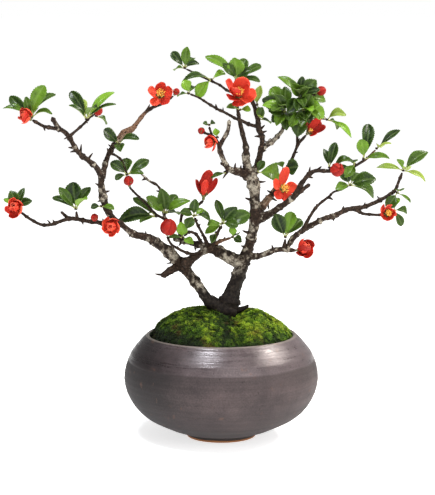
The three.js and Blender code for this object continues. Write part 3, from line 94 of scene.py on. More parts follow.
# Limbs as (x, z, depth, radius) from the root to the end. A limb with a "tip" tapers at its end.
LIMBS = {
    "trunk": [
        (2, 72, 0, 7.6), (2, 96, 0, 8.2), (3, 106, 0, 8.6), (4.5, 114, 0, 8), (6.5, 121, 0, 6.9),
        (9, 129, 0, 6.3), (12, 137, 0, 5.5), (15, 145, 1, 5.4), (17.5, 152, 2, 5.5), (20.5, 159, 2, 4.8),
        (23, 166, 1, 4), (25, 174, 0, 4), (27, 182, 0, 4.2), (28, 190, 0, 4.6), (27.5, 199, 1, 3.7),
        (27.5, 207, 1, 4.5), (27, 214, 0, 5), (25.5, 221, 0, 5.2), (22.5, 228, 0, 4.2, "tip"),
    ],
    "leftLimb": [
        (0, 110, 0, 7), (-8, 115.5, -2, 5.2), (-13.5, 120, -3, 4.3), (-18, 126.5, -3, 4.1),
        (-22.5, 133, -2, 3.9), (-27, 139.5, -1, 3.8), (-31.5, 145.5, 0, 4.3), (-36.5, 151, 0, 5.2),
        (-42, 157, -2, 4.6), (-48, 163, -4, 4.2), (-54, 167.5, -6, 3.8), (-60, 171.5, -8, 3.6),
        (-67, 174, -11, 3.1), (-73, 175.5, -14, 2.9), (-78, 178.5, -16, 2.5), (-83, 183, -18, 2.1),
        (-88, 187, -20, 2.1), (-92.5, 191, -22, 2.3), (-96.5, 197, -23, 2.7), (-99, 205, -24, 2.9),
        (-100.5, 213, -25, 3), (-101, 221, -26, 2.6), (-100, 229, -27, 2.7, "tip"),
    ],
    "farLeft": [
        (-100.5, 225, -27, 2.4), (-105, 233, -28, 2.2), (-111, 238.5, -29, 2), (-118, 244, -31, 1.9),
        (-123, 251, -33, 1.8), (-128, 260, -34, 1.9), (-134, 265, -35, 1.9), (-141, 266.5, -34, 1.6),
        (-148, 268, -33, 1.4), (-157, 273, -32, 1.2, "tip"),
    ],
    "farLeftStub": [(-134, 264, -35, 1.8), (-138, 270, -36, 1.8), (-140.5, 274.5, -37, 1.7)],
    "farLeftTwig": [
        (-127, 259, -34, 1.4), (-121, 264, -31, 1.1), (-114, 270, -26, 1.1), (-109, 275, -23, 1),
        (-105.5, 277.3, -21, 0.9, "tip"),
    ],
    "nearLeft": [
        (-100, 224, -27, 2.4), (-98, 233, -24, 2.2), (-95, 242, -17, 2.1), (-91, 249, -10, 2),
        (-86, 256, -4, 2.4), (-80, 262, 2, 3), (-74, 265, 8, 2.4), (-69, 271, 13, 1.7), (-63, 278, 18, 1.5),
        (-56, 283, 22, 1.3), (-51, 288.5, 25, 1.2, "tip"),
    ],
    "nearLeftBudTwig": [(-58, 282, 21, 1.2), (-48, 285.5, 23, 1), (-39.5, 291.5, 22, 0.9, "tip")],
    "hangingTwig": [
        (-94, 245, -14, 1.3), (-89, 243, -12, 1), (-84, 239, -12, 1), (-81, 231.5, -14, 0.9),
        (-79, 226.5, -15, 0.9, "tip"),
    ],
    "lowLeft": [
        (-87, 186.5, -20, 1.8), (-97, 185, -19, 1.8), (-105, 186.5, -20, 1.8), (-113, 187.5, -21, 1.7),
        (-120, 189, -22, 1.7), (-128, 190, -23, 1.7), (-137, 187.5, -24, 1.5), (-145, 185, -25, 1.4),
        (-152, 185, -26, 1.3), (-159, 188.5, -27, 1.2), (-165, 192.5, -28, 1.1),
        (-171, 197.5, -29, 1, "tip"),
    ],
    "lowLeftStub": [(-128, 189, -23, 1.4), (-132, 192.5, -22, 1.3), (-135, 195.5, -22, 1.2)],
    "lowLeftSpur": [(-122, 188, -22, 1.5), (-122.5, 195.5, -22, 1.2, "tip")],
    "lowLeftBud": [(-103, 185.5, -20, 1.3), (-105.5, 187.5, -24, 1.2), (-107.3, 190.3, -26, 2.4, "tip")],
    "cutStub": [(-34, 149.5, 0, 3.6), (-42, 146, -4, 3.2), (-47, 143, -7, 2.9), (-50.5, 140.5, -9, 2.7)],
    "middleLeft": [
        (17, 150, 1, 5), (9, 153.5, 1, 4.9), (2, 157, 0, 4.5), (-5, 161, 0, 4.2), (-11, 162.5, 0, 4),
        (-16, 161, -1, 3.2), (-20.5, 157.5, -4, 2.6), (-25.5, 154.5, -7, 3), (-29, 152, -9, 4.2),
        (-31.5, 150.5, -12, 4.3),
    ],
    "silverLimb": [
        (-11, 163.5, 0, 3), (-20, 166, 2, 2.6), (-27, 168, 4, 2.3), (-34, 170, 6, 2.2), (-39, 171.5, 7, 1.8),
        (-43, 178, 9, 1.3), (-47, 186, 10, 1.3), (-49, 193, 10, 1.4), (-50, 201, 9, 1.1), (-50, 210, 8, 1),
        (-54, 217, 8, 1), (-60, 220.5, 9, 1), (-65, 224.5, 10, 0.9), (-69, 229.5, 11, 0.8, "tip"),
    ],
    "budTwig": [
        (-47.5, 188, 10, 1.2), (-56, 193, 6, 1.1), (-63, 201, 1, 1), (-70, 208, -5, 1),
        (-74.5, 212.5, -9, 1), (-77, 215.5, -12, 0.9, "tip"),
    ],
    "risingTwig": [
        (-34, 169, 6, 1.6), (-36, 177, 2, 1.4), (-35, 185, -2, 1.3), (-34, 191, -4, 1.2),
        (-31, 196, -6, 1.2), (-26, 196.5, -8, 1.1), (-22, 198.5, -10, 1.1), (-18, 201.5, -12, 1.1),
        (-15.7, 203.6, -13, 1.1, "tip"),
    ],
    "arcTwig": [
        (-14, 160.5, 0, 1.8), (-23, 158.3, -6, 1.4), (-30, 159.5, -11, 1.3), (-37, 163, -14, 1.2),
        (-43, 167, -15, 1.1), (-46.5, 173.4, -15, 1, "tip"),
    ],
    "hookTwig": [
        (-16, 164, 2, 1.6), (-19.5, 171, -1, 1.4), (-22.5, 175.5, -3, 1.3), (-28, 177, -5, 1.2),
        (-32, 174, -6, 1.1, "tip"),
    ],
    "paleTwig": [
        (-12, 164, 0, 1.8), (-15, 172, -5, 1.3), (-18, 178, -9, 1.2), (-21, 184, -12, 1.1),
        (-23, 189, -14, 1, "tip"),
    ],
    "spurTwig": [(-9, 164, -1, 2), (-6, 172, -5, 1.5), (-3, 178, -8, 1.2), (-0.5, 182, -10, 1.1, "tip")],
    "brownTwig": [(-9, 163, 1, 2), (-3, 168.5, 2, 1.4), (3, 170.5, 1, 1.2), (7, 171.7, 0, 1, "tip")],
    "lowRight": [
        (18, 157, 2, 3.6), (25, 155.8, 0, 2.8), (31, 156, -3, 2.5), (37, 158, -6, 2.4), (43, 160.5, -9, 2.3),
        (50, 161.3, -12, 2.2), (56, 160.8, -14, 2.1), (61.5, 160.3, -16, 1.6, "tip"),
    ],
    "lowRightSpur": [(51, 160, -12, 1.8), (52.3, 165, -13, 1.5), (53, 169.5, -13, 1.3, "tip")],
    "outerRise": [
        (52, 160.5, -12, 1.9), (56.5, 166, -9, 1.9), (59.5, 170.8, -5, 2.4), (64, 174.5, 0, 1.9),
        (69, 178.5, 5, 2.1),
    ],
    "outerRight": [
        (66, 176, 2, 2), (73, 180.3, 8, 2.3), (80, 184, 12, 2.2), (86, 187.3, 16, 2.3), (93, 188.7, 20, 2.2),
        (99, 191.3, 24, 2), (105, 194.3, 28, 2.1), (112, 195.5, 32, 2.1), (119, 196.3, 36, 1.9),
        (126, 198.8, 40, 1.8), (133, 202, 44, 1.7), (140, 206, 48, 1.5), (146, 211, 52, 1.3),
        (148.5, 217, 55, 1.2), (151.5, 224.5, 58, 1.1, "tip"),
    ],
    "outerLeafSpur": [(143, 207.5, 50, 1.3), (146.5, 209.5, 47, 1, "tip")],
    "bloomTwig": [
        (109, 195.3, 30, 1.7), (115, 192.6, 31, 1.4), (119, 190.6, 32, 1.3), (126, 189.8, 33, 1.2),
        (134, 189.6, 35, 1.1), (143, 193, 40, 1, "tip"),
    ],
    "thornyTwig": [
        (67.5, 176.5, 4, 1.8), (71.5, 184.5, 5, 1.4), (75.5, 191.5, 5, 1.4), (80, 197.5, 6, 1.2),
        (84.5, 201.5, 7, 1.1), (90, 205.5, 8, 1.1), (93.5, 209, 8, 1), (99, 211, 9, 1),
        (106, 214, 11, 1, "tip"),
    ],
    "upperRight": [
        (26, 185, 0, 3.8), (34, 188.5, -4, 3.3), (41, 192, -8, 2.8), (48, 196.5, -12, 2.4),
        (54, 200.5, -15, 2.3), (60, 205.5, -18, 2.2), (64, 211, -20, 2.2), (68, 218, -22, 2),
        (73, 224, -24, 1.9), (79, 227.5, -26, 1.7), (86, 227.3, -27, 1.6), (92, 227.3, -27, 1.5),
        (98, 227.8, -25, 1.3), (105, 229, -23, 1.2), (111, 230.5, -22, 1.2), (117, 234, -21, 1.1),
        (122, 237, -20, 1), (129, 244, -20, 0.9, "tip"),
    ],
    "upperRightStub": [(60, 205.5, -18, 2), (67, 211, -21, 1.6), (73.5, 215.7, -24, 1.5)],
    "upperRightBud": [(91, 227, -27, 1.3), (94, 227.6, -31, 1, "tip")],
    "backRight": [
        (27, 189, 1, 3.6), (33, 197, 6, 3), (38.5, 203.5, 11, 2.8), (43, 209, 16, 2.4), (47, 216, 20, 2),
        (51, 223, 23, 1.8), (55, 230, 25, 1.6), (59, 237, 26, 1.4), (61.5, 243, 26, 1.3),
        (64.8, 250.5, 25, 1.4), (68, 254, 22, 1.2), (71, 257.3, 20, 1.1, "tip"),
    ],
    "starTwig": [(41.5, 206.5, 14, 1.7), (46, 211, 8, 1.3), (49, 212, 4, 1.1, "tip")],
    "crownRight": [
        (64.3, 249, 25, 1.4), (63.8, 256, 26, 1.1), (64, 262, 26, 1.2), (65, 270, 26, 1.1),
        (66, 278, 26, 1.2), (66.5, 286, 26, 1.5), (72, 290, 24, 1.1), (79.5, 291, 22, 0.9, "tip"),
    ],
    "paleLeafTwig": [
        (65.5, 275, 26, 1.1), (74, 274, 29, 1), (81, 272, 31, 0.9), (87, 270.5, 31, 0.8, "tip"),
    ],
    "middle": [
        (24, 225, 0, 3.8), (21.5, 233, -1, 3.4), (20.8, 240, -2, 3), (21, 246, -3, 2.2),
        (19.8, 253, -4, 1.9), (18, 260, -5, 1.8), (16.5, 267, -6, 1.9), (15.3, 273, -8, 1.5),
        (14.3, 280, -10, 1.3), (14, 284.5, -11, 1.2, "tip"),
    ],
    "crownLeft": [
        (22.5, 224, 0, 4), (16, 227.5, -2, 3.2), (10, 228.5, -5, 2.6), (5.5, 231, -8, 2.3),
        (2.5, 236, -10, 2.1), (0, 242, -11, 2.1), (-1.5, 247.5, -12, 2), (0.5, 252.5, -12, 1.8),
        (3.5, 257.5, -12, 1.7), (6, 263, -12, 1.6), (7, 270, -11, 1.5),
    ],
    "crownLeftStub": [(5, 232, -9, 1.7), (0, 235, -11, 1.3)],
    "crownLeftTwig": [
        (-1.3, 248, -12, 1.5), (-3.5, 254, -12, 1.2), (-7, 258, -13, 1.1), (-12.8, 260.2, -14, 1),
        (-16, 262.3, -14, 2.3, "tip"),
    ],
    "crownLeftShoot": [(-7, 257, -13, 1), (-9, 263, -13, 0.9), (-9.7, 265.5, -13, 0.8, "tip")],
    "right": [
        (25, 225, 1, 3.8), (30, 231.5, 5, 2.8), (31.5, 237, 8, 2.5), (33, 244, 11, 2.4),
        (34.5, 251, 14, 2.2), (34.3, 257, 16, 2.2), (32, 262.5, 17, 2.6), (31.2, 269, 18, 1.9),
        (29.8, 276, 19, 1.8), (28, 283, 20, 1.7), (24, 291, 19, 1.3), (19, 298, 16, 1.2),
        (14.5, 302.5, 13, 1.1, "tip"),
    ],
    "topTwig": [
        (24, 289, 19, 1.3), (14, 293, 15, 1.2), (6, 295.5, 12, 1.1), (0, 300, 9, 1), (-6, 303, 8, 1),
        (-13, 306.3, 8, 0.9), (-20, 310, 9, 0.9), (-28, 313.8, 10, 0.8, "tip"),
    ],
    "crossTwig": [
        (32, 265, 17, 1.6), (24, 267, 12, 1.5), (18, 270, 6, 1.4), (12, 272.5, 2, 1.3), (5, 276.5, 0, 1.2),
        (-3, 280.5, -2, 1.1), (-11, 285.5, -4, 1), (-18, 290, -5, 0.9), (-25, 293, -6, 0.8, "tip"),
    ],
    "paleLimb": [
        (34.5, 247, 13, 2.2), (39, 250.5, 15, 2.2), (44, 253.5, 18, 2), (48, 257.5, 20, 1.8),
        (51.5, 262, 22, 1.6), (53, 268, 22, 1.4), (54, 275, 22, 1.2, "tip"),
    ],
    "rootStub": [(5, 108, 0, 3.4), (12, 109.8, -2, 2.4), (19, 112.2, -4, 1.6), (20.8, 113.8, -4, 1.2)],
}

# Thorns as the root and the tip of each
THORNS = [
    ((-64, 173, -10), (-64.5, 178.5, -11)), ((-61, 171, -8), (-61, 166.5, -10)),
    ((-101, 217, -26), (-106, 219.5, -27)), ((-99, 206, -24), (-104.5, 204, -25)),
    ((-99, 212, -25), (-94, 213, -26)), ((-122, 249, -32), (-128, 250, -34)),
    ((-121, 247, -32), (-126.5, 246, -31)), ((-118, 244, -31), (-117, 252.5, -32)),
    ((-112, 239, -29), (-107.5, 245, -28)), ((-94, 243, -17), (-95.5, 249, -18)),
    ((-62, 279, 19), (-59, 285, 18)), ((-63, 223, 10), (-67, 221.5, 8)), ((-50, 211, 8), (-55, 212.5, 6)),
    ((-50, 141, -8), (-57.5, 142, -11)), ((-37, 151.5, 0), (-47.5, 150.5, -3)),
    ((-23, 167, 3), (-23, 161, 2)), ((-34, 169, 6), (-37, 165.5, 4)), ((11, 229, -4), (12, 235, -5)),
    ((16, 228, -2), (16.5, 233, -4)), ((7, 229.5, -7), (1.5, 227.5, -9)), ((6, 229, -7), (1, 222, -10)),
    ((24, 204, 0), (19.5, 205.5, -3)), ((30, 219, 1), (37, 219, -1)), ((43, 209, 15), (38, 211.5, 13)),
    ((22, 176, -2), (17, 178, -5)), ((20, 164, 0), (15.5, 165, -4)), ((-3, 280, -2), (-4, 284.5, -4)),
    ((33, 257, 15), (28, 257, 12)), ((33, 263, 17), (36.8, 266.5, 15)), ((34, 260, 16), (38.5, 261.5, 14)),
    ((43, 160, -9), (41.5, 165.5, -11)), ((57, 168, -8), (62, 170.5, -11)),
    ((89.5, 205, 8), (93.5, 202.8, 6)), ((73.5, 224, -24), (74.4, 231, -25)),
    ((72.5, 223, -24), (77, 221.5, -26)), ((80, 227.5, -26), (84, 231.3, -27)),
    ((38, 202, 10), (39.5, 195.5, 8)), ((41, 206, 13), (36.5, 207, 12)), ((41, 206, 13), (46.5, 202.5, 10)),
    ((101, 192.5, 25), (102.5, 197.5, 24)),
]
SHORT_THORNS = [
    ((-28, 140.5, -1), (-31.5, 143.5, -4)), ((-77, 178, -16), (-78.5, 173.5, -17)),
    ((-127, 259, -34), (-131.5, 257, -35)), ((-148, 268, -33), (-147, 264, -34)),
    ((-91, 249, -10), (-94.5, 252, -9)), ((-118, 188.5, -22), (-117, 184.5, -23)),
    ((-141, 186, -24), (-142.5, 189.5, -24)), ((19, 153, 2), (22.5, 150.5, -1)),
    ((28, 191, 0), (31.5, 190.5, -4)), ((93, 189, 20), (94, 184.5, 19)),
    ((119, 196.5, 36), (120.5, 200.5, 35)), ((133, 202, 44), (130.5, 205.5, 43)),
    ((61, 243, 26), (64.5, 243.5, 24)), ((20.8, 240, -2), (16.8, 241.5, -3)),
    ((34.4, 254, 15), (38, 252.5, 13)),
]

# Sprays as the heart, then each leaf as x, z and depth of its tip, width, turn and, for some, its arch
SPRAYS = {
    "farLeftTuft": [
        (-158, 275.5, -32), (-181, 285, -34, 7, 25, 0.12), (-175.5, 294.5, -28, 8, 60, 0.08),
        (-162, 292, -39, 6, 55, 0.08), (-147, 302, -36, 10, 70, 0.1), (-139, 296.5, -25, 6, 35, 0.12),
        (-141, 279, -33, 6, 20, 0.2), (-156, 284, -16, 8, 20),
    ],
    "leftForkTuft": [
        (-112.3, 273.8, -26.2), (-124.5, 297, -25, 8, 66, 0.06), (-118.5, 290, -19, 9, 68, 0.05),
        (-126, 285.5, -33, 6, 30, 0.1), (-90, 297.5, -20, 7, 40, 0.12), (-103, 284, -42, 8, 20, 0.1),
        (-88.5, 287.5, -29, 5, 30),
    ],
    "lowLeftTuft": [
        (-172, 199.5, -29), (-177.5, 214, -30, 8, 70, 0.06), (-166, 217, -24, 5, 50, 0.06),
        (-160.5, 206, -36, 7, 45, 0.1), (-170, 205, -12, 8, 15), (-183, 208, -22, 5, 30),
    ],
    "lowLeftSpurTuft": [
        (-122.7, 198, -22), (-124.5, 220.5, -24, 12, 72, 0.06), (-110.5, 216.5, -18, 7, 50, 0.06),
        (-136, 216.5, -28, 7, 55, 0.06), (-142, 209, -19, 6, 35, 0.1), (-114, 207, -37, 8, 20),
    ],
    "tanLimbTuft": [
        (-85.5, 252.5, -7.5), (-97.5, 264.5, -16, 9, 60, 0.08), (-70, 258, -18, 6, 40, 0.14),
        (-84, 247, -24, 7, 20),
    ],
    "hangingTuft": [
        (-79.2, 226.5, -15.5), (-92.5, 237, -19, 8, 62, 0.06), (-61, 239.5, -12, 7.5, 58, 0.1),
        (-65.5, 228, -21, 5, 45, 0.1), (-80, 241, -8, 8, 60, 0.08), (-89, 222.5, -22, 5, 45),
    ],
    "clump": [
        (-48, 193, 7.5), (-50.5, 214, 1, 10, 75, 0.06), (-62, 207, -2, 9, 60, 0.1),
        (-27.5, 204.5, 3, 8, 45, 0.1), (-38, 209, 12, 8, 50, 0.06), (-36.5, 193, 20, 8, 30, 0.1),
    ],
    "darkPair": [
        (-55.5, 190.7, 4), (-87, 189, -4, 11, 60, 0.16), (-70.5, 187.5, 10, 7, 50, 0.05),
        (-74.5, 207.5, 14, 7, 40, 0.1),
    ],
    "hookTuft": [
        (-33, 172.5, -7), (-34.5, 184.5, -15, 8, 65, 0.08), (-46, 173, -2, 5, 40), (-25, 168, -16, 6, 50),
    ],
    "innerTuft": [
        (-23.5, 191, -15), (-22.5, 204, -21, 7, 60, 0.06), (-9.5, 186.5, -17, 7, 35, 0.22),
        (-34.5, 194.5, -20, 7, 55, 0.1), (-30, 181, -22, 8, 60, 0.08), (-14, 196, -6, 6, 40),
    ],
    "spurTuft": [
        (0.2, 184, -11), (23, 192.5, -13, 11, 72, 0.08), (12, 197.5, -16, 9, 70, 0.06),
        (-4.5, 204, -10, 6, 55, 0.06), (13, 182.5, -19, 8, 55, 0.1), (-12, 183, -19, 7, 45, 0.1),
        (-14.5, 176.5, -15, 6, 60, 0.1), (4, 190, 6, 8, 20),
    ],
    "brownTwigTuft": [
        (8.5, 172.3, 0), (16, 168.5, -7, 6, 60, 0.12), (9.5, 181, -2, 6, 60, 0.08), (13, 176, 11, 6, 20),
    ],
    "topTip": [
        (-29.5, 314.8, 10), (-39.5, 328.5, 10, 7, 50, 0.06), (-27, 331.8, 5, 7, 60, 0.06),
        (-17.5, 319.5, 15, 6, 40, 0.08), (-38, 313.5, 20, 6, 25, 0.1), (-22, 324, 24, 7, 30, 0.08),
    ],
    "topTwigLeaves": [
        (-7.2, 304.9, 7.6), (-20, 291, 1, 9, 65, 0.1), (-30, 307, -2, 6, 40, 0.14), (4, 311, 14, 6, 40, 0.1),
    ],
    "crossTip": [
        (-26.5, 293.7, -6.3), (-30.5, 304.5, -9, 8, 62, 0.06), (-22, 300, 6, 6, 30), (-36, 292, -1, 5, 30),
    ],
    "crownTuft": [
        (13.5, 304.5, 12.5), (12, 322.5, 8, 13, 75, 0.05), (-10.5, 325.5, 11, 8, 45, 0.08),
        (21, 322, 16, 8, 60, 0.05), (34, 316.5, 18, 7, 40, 0.08), (33, 303.5, 8, 7, 40, 0.1),
        (18, 310, 32, 9, 15, 0.1), (5, 314, 22, 5, 40), (25, 313, 6, 9, 60), (4, 318, 4, 8, 55),
    ],
    "roundLeafLeft": [(30, 226.5, -2.5), (49.5, 226, 8, 13, 80, 0.04), (36, 236, -7, 6, 60, 0.08)],
    "roundLeafRight": [(52.2, 229.5, 23.5), (64, 231.5, 16, 12, 78, 0.05), (46.5, 236, 34, 7, 30)],
    "lowRightPair": [
        (53, 171.7, -13), (45.5, 191, -17, 11, 78, 0.04), (59, 193, -12, 9.5, 72, 0.05),
        (67, 187, -6, 8, 60, 0.08), (58, 180, 6, 8, 15, 0.1),
    ],
    "outerTip": [
        (152.3, 226.8, 58.5), (173, 243, 62, 9, 55, 0.1), (131, 231, 54, 6, 45, 0.08),
        (172, 218.5, 60, 6, 40, 0.08), (155, 229, 76, 8, 20, 0.1), (148, 236, 50, 5, 50),
    ],
    "outerLeaf": [
        (147.5, 208.2, 46), (138.5, 195, 44, 9, 70, 0.05), (150, 211, 32, 7, 20), (159, 200, 48, 4, 35),
    ],
    "bloomTwigTuft": [
        (144.8, 193.5, 41), (156, 190.5, 43, 7, 45, 0.22), (151.5, 180.5, 36, 6, 65, 0.08),
        (148, 204, 52, 6, 30, 0.1),
    ],
    "thornyTip": [
        (107.5, 215, 11.5), (129, 220.5, 5, 12, 62, 0.14), (129, 205, 18, 8, 45, 0.16),
        (102.5, 231.5, 4, 10, 65, 0.06), (96.5, 213, 2, 7, 55, 0.1), (116, 226, 26, 8, 20, 0.1),
    ],
    "fanLeaf": [(90.5, 229.7, -28), (96, 251, -27, 7, 70, 0.06), (86, 246, -24, 5, 50)],
    "archedPair": [
        (112, 233.2, -24), (96, 234.5, -20, 7, 40, 0.3), (104, 222, -32, 8, 60, 0.08),
        (110, 236, -42, 7, 20),
    ],
    "uprightPair": [
        (119.2, 237, -22.6), (117, 253, -26, 9, 65, 0.04), (123.5, 266.5, -17, 9, 68, 0.08),
        (140.5, 238, -29, 7, 40, 0.1),
    ],
    "rightShoot": [
        (130.3, 245.6, -20), (149.5, 261.5, -17, 6, 45, 0.05), (134, 247, -6, 6, 20, 0.1),
        (142, 250, -29, 4, 35),
    ],
    "oliveUpright": [
        (30.5, 283.5, 20.5), (33.5, 299, 17, 6, 65, 0.05), (35, 272.5, 13, 6, 70, 0.05),
        (27, 290, 34, 7, 20, 0.1),
    ],
    "crownHeart": [
        (54.2, 277, 21), (35.5, 288, 14, 13, 68, 0.06), (43.5, 298, 22, 11, 66, 0.06),
        (40.5, 278.5, 9, 10, 62, 0.08), (43, 270, 12, 8, 55, 0.1), (54, 298, 20, 9, 65, 0.05),
        (55, 262.5, 8, 9, 65, 0.05), (49, 284, 40, 9, 20, 0.1), (48, 290, 5, 10, 70), (37.5, 284, 2, 9, 60),
        (47, 267, 4, 8, 60), (50, 284, 3, 7, 10), (57, 271, 4, 7, 15), (44, 281, 0, 7, 35),
    ],
    "crownEast": [
        (68, 278, 24), (74.5, 291, 9, 11, 70, 0.05), (87.5, 275.5, 27, 10, 58, 0.12),
        (74.5, 268.5, 13, 9, 60, 0.1), (64, 257, 15, 12, 70, 0.05), (72, 284, 44, 9, 20, 0.1),
        (70, 271, 5, 10, 72), (81, 284, 12, 9, 60), (59.5, 267, 6, 10, 70), (79, 271.5, 19, 8, 50),
        (76, 280, 5, 7, 20), (67, 267, 2, 7, 30), (83, 272, 9, 6, 30),
    ],
    "crownNorth": [
        (66, 288.5, 24), (48.5, 307, 27, 7, 35, 0.14), (68.5, 306, 20, 6, 60, 0.05),
        (79.5, 304, 25, 10, 62, 0.06), (88, 286.5, 30, 9, 60, 0.1), (56.5, 277.5, 6, 11, 75, 0.05),
        (61, 296, 42, 8, 20, 0.1), (59.5, 301, 12, 8, 60), (73, 297, 8, 9, 65), (65, 280, 2, 9, 70),
        (82, 296, 14, 7, 50), (62, 297, 5, 7, 20), (75, 299, 6, 7, 35), (70, 284, 0, 7, 5),
        (57, 305, 12, 6, 50),
    ],
    "paleLeaf": [
        (88.7, 270.3, 31.5), (104.5, 274.5, 28, 8, 45, 0.24), (75.5, 277.5, 32, 6, 45, 0.2),
        (110, 256.5, 27, 6, 38, 0.14), (98, 263.5, 45, 7, 30, 0.14),
    ],
}
SMALL_SPRAYS = {
    "forkLeaves": [(-101.5, 200, -26.5), (-110, 199, -30, 5, 50), (-91, 197.5, -32, 5, 50)],
    "leftBudLeaves": [(-104, 276, -20), (-95, 270, -12, 6, 30)],
    "olivePair": [(-58, 194.5, 7.6), (-66, 190, 22, 8, 25)],
    "darkSpur": [(-5.2, 176.5, -8), (-9.5, 168, -16, 5, 55)],
    "narrowShoot": [(4.3, 227.2, -10), (-9, 223.5, -14, 4, 35)],
    "crownShoot": [(-9.9, 267.2, -13), (-14.5, 268.8, -16, 4, 55), (-5.2, 269.5, -11, 4, 55)],
    "crownBract": [(-3, 256.8, -13.5), (-4.5, 264, -15, 5, 65)],
    "bloomTuft": [(16.2, 279.5, -10), (6, 282.5, -17, 5, 50), (24.5, 280, -15, 5, 50)],
    "limbYoungLeaf": [(32.2, 271.5, 17), (35, 281, 12, 6, 70), (42, 268, 26, 5, 35)],
    "crownUnder": [(65.9, 262.5, 25), (66.5, 276, 9, 9, 70), (76, 268, 38, 8, 30)],
}

# Blooms: a petal is x, z and depth of its tip and its width, and a tuft is its centre and its length.
# Where a bloom has a bend, its petals stand apart and arch by it. The others' cup round an inner whorl.
BLOOMS = {
    "leftBloom": {
        "base": (-50.5, 290, 23.5), "throat": (-50.3, 292.5, 18), "bend": 0.07,
        "tuft": ((-50.2, 292.7, 16.3), 6.6),
        "petals": [
            (-60, 297.5, 12, 9.5), (-49.5, 303.5, 13, 8.5), (-39.5, 297, 12, 9), (-43.5, 285.5, 11, 8.5),
            (-57, 284.5, 11, 8),
        ],
    },
    "crownBloom": {
        "base": (14, 285.3, -11.6), "throat": (15, 291, -17), "bend": 0.07,
        "tuft": ((15.2, 291.3, -19), 7.4),
        "petals": [
            (19.5, 306.5, -21, 13), (30, 291.5, -22, 13), (5, 304, -22, 12), (7.5, 288.5, -24, 12),
            (18, 282.5, -24, 13), (25, 299, -27, 10), (11.5, 297.5, -28, 9),
        ],
    },
    "starBloom": {
        "base": (49.5, 212.2, 2.5), "throat": (51.5, 212.8, -3), "bend": 0.07,
        "tuft": ((51.6, 212.9, -4.7), 6.6),
        "petals": [
            (54, 231.5, -8, 8.5), (43, 219, -9, 8), (64, 214.5, -9, 9), (46, 204.5, -9, 7.5),
            (57.5, 201.5, -9, 8.5),
        ],
    },
    "outerBloom": {
        "base": (136.4, 190.3, 35.7), "throat": (138.8, 190.8, 30), "bend": 0.1,
        "tuft": ((138.9, 190.9, 28.4), 4.8),
        "petals": [
            (133.5, 195, 24, 9.5), (136, 186, 24, 9), (143.5, 186.5, 24, 9), (145.5, 193, 25, 9.5),
            (139.5, 197.5, 25, 9.5),
        ],
    },
    "farLeftBloom": {
        "base": (-158.5, 273.4, -35.5), "throat": (-161, 275.5, -38),
        "petals": [
            (-168, 281.5, -41, 8.5), (-169, 275, -41, 8.5), (-162, 283, -43, 8), (-163.5, 271.5, -44, 8.5),
            (-165.5, 277, -47, 8),
        ],
    },
    "endBloomLeft": {
        "base": (-171, 197.5, -30.3), "throat": (-173, 199.5, -36),
        "petals": [
            (-178.5, 206.5, -40, 8.5), (-168.5, 197, -44, 8), (-176.5, 190.5, -40, 8.5),
            (-182.5, 197.5, -39, 8), (-171, 206, -43, 8),
        ],
    },
    "lowLeftBloom": {
        "base": (-92, 185.8, -21), "throat": (-93, 184, -28),
        "petals": [
            (-100.5, 186.5, -33, 9.5), (-98.5, 177.5, -34, 9.5), (-91.5, 174.5, -34, 9),
            (-86, 181, -33, 9.5), (-92, 189.5, -35, 9.5),
        ],
    },
    "smallBloom": {
        "base": (-4, 251.8, -14.5), "throat": (-7, 252, -17),
        "petals": [
            (-13.5, 255.5, -20, 8.5), (-13, 248, -20, 8.5), (-6, 246.8, -22, 8), (-5.5, 257, -22, 8),
        ],
    },
    "lowRightBloom": {
        "base": (62.8, 160.4, -17.5), "throat": (65.5, 161.3, -20),
        "petals": [
            (68, 169.5, -25, 9.5), (77, 167.5, -21, 10), (76.5, 158, -22, 10), (67, 155, -25, 9),
            (72, 163, -31, 9),
        ],
    },
    "halfOpenRight": {
        "base": (71.7, 258.2, 18.8), "throat": (73.5, 260, 16.5), "bend": 0.1,
        "petals": [
            (83, 272.5, 13, 6.5), (75.5, 271.5, 17, 7), (87.5, 265, 16, 5.5), (80, 258.5, 11, 6),
            (84, 268, 24, 6.5),
        ],
    },
    "hangingTrumpet": {
        "base": (-15.6, 204.3, -13.4), "throat": (-15, 208.5, -15.5), "bend": 0.1,
        "petals": [
            (-10.5, 229.5, -14, 9), (-21.5, 221.5, -16, 7.5), (-3.4, 222.5, -17, 5), (-14, 221, -24, 8),
            (-15.5, 222, -7, 7),
        ],
    },
}

# Buds as base, centre and radius. The two tiny ones sit on swellings of the wood.
BUDS = {
    "leftBud": ((-104.3, 278, -21), (-102.6, 280.3, -21), 3.9),
    "smallBudLeft": ((-38.7, 292.2, 22), (-36.7, 295.2, 22), 2.7),
    "smallBudRight": ((80.2, 291.5, 21.8), (84, 294.3, 21), 3.9),
    "roundBudRight": ((94.3, 227.7, -32.2), (97, 228.2, -37), 5.6),
    "hangingBud": ((-77.3, 216, -12.7), (-78, 221.3, -14.4), 4),
    "roundRedBud": ((-46.4, 174.4, -15.4), (-45.4, 181.5, -17), 6.8),
}
TINY_BUDS = {
    "crownLeftEnd": ((-14, 261.4, -14), (-16.2, 262.4, -14.2), 2.7),
    "lowLeftEnd": ((-106.2, 188.6, -25), (-107.4, 190.6, -26.2), 3),
}

# How much more silver grey than its thickness gives a limb's bark is
SILVER = {
    "silverLimb": 0.45, "paleLimb": 0.45, "paleTwig": 0.3, "crownLeft": 0.28, "middle": 0.15,
    "lowRight": 0.25, "outerRise": 0.2, "cutStub": -0.6,
}

# Where the bark of a limb is warm brown: from and to this height
WARM = {
    "nearLeft": (250, 276), "brownTwig": (160, 180), "backRight": (194, 222), "upperRight": (236, 250),
    "paleLeafTwig": (260, 280),
}

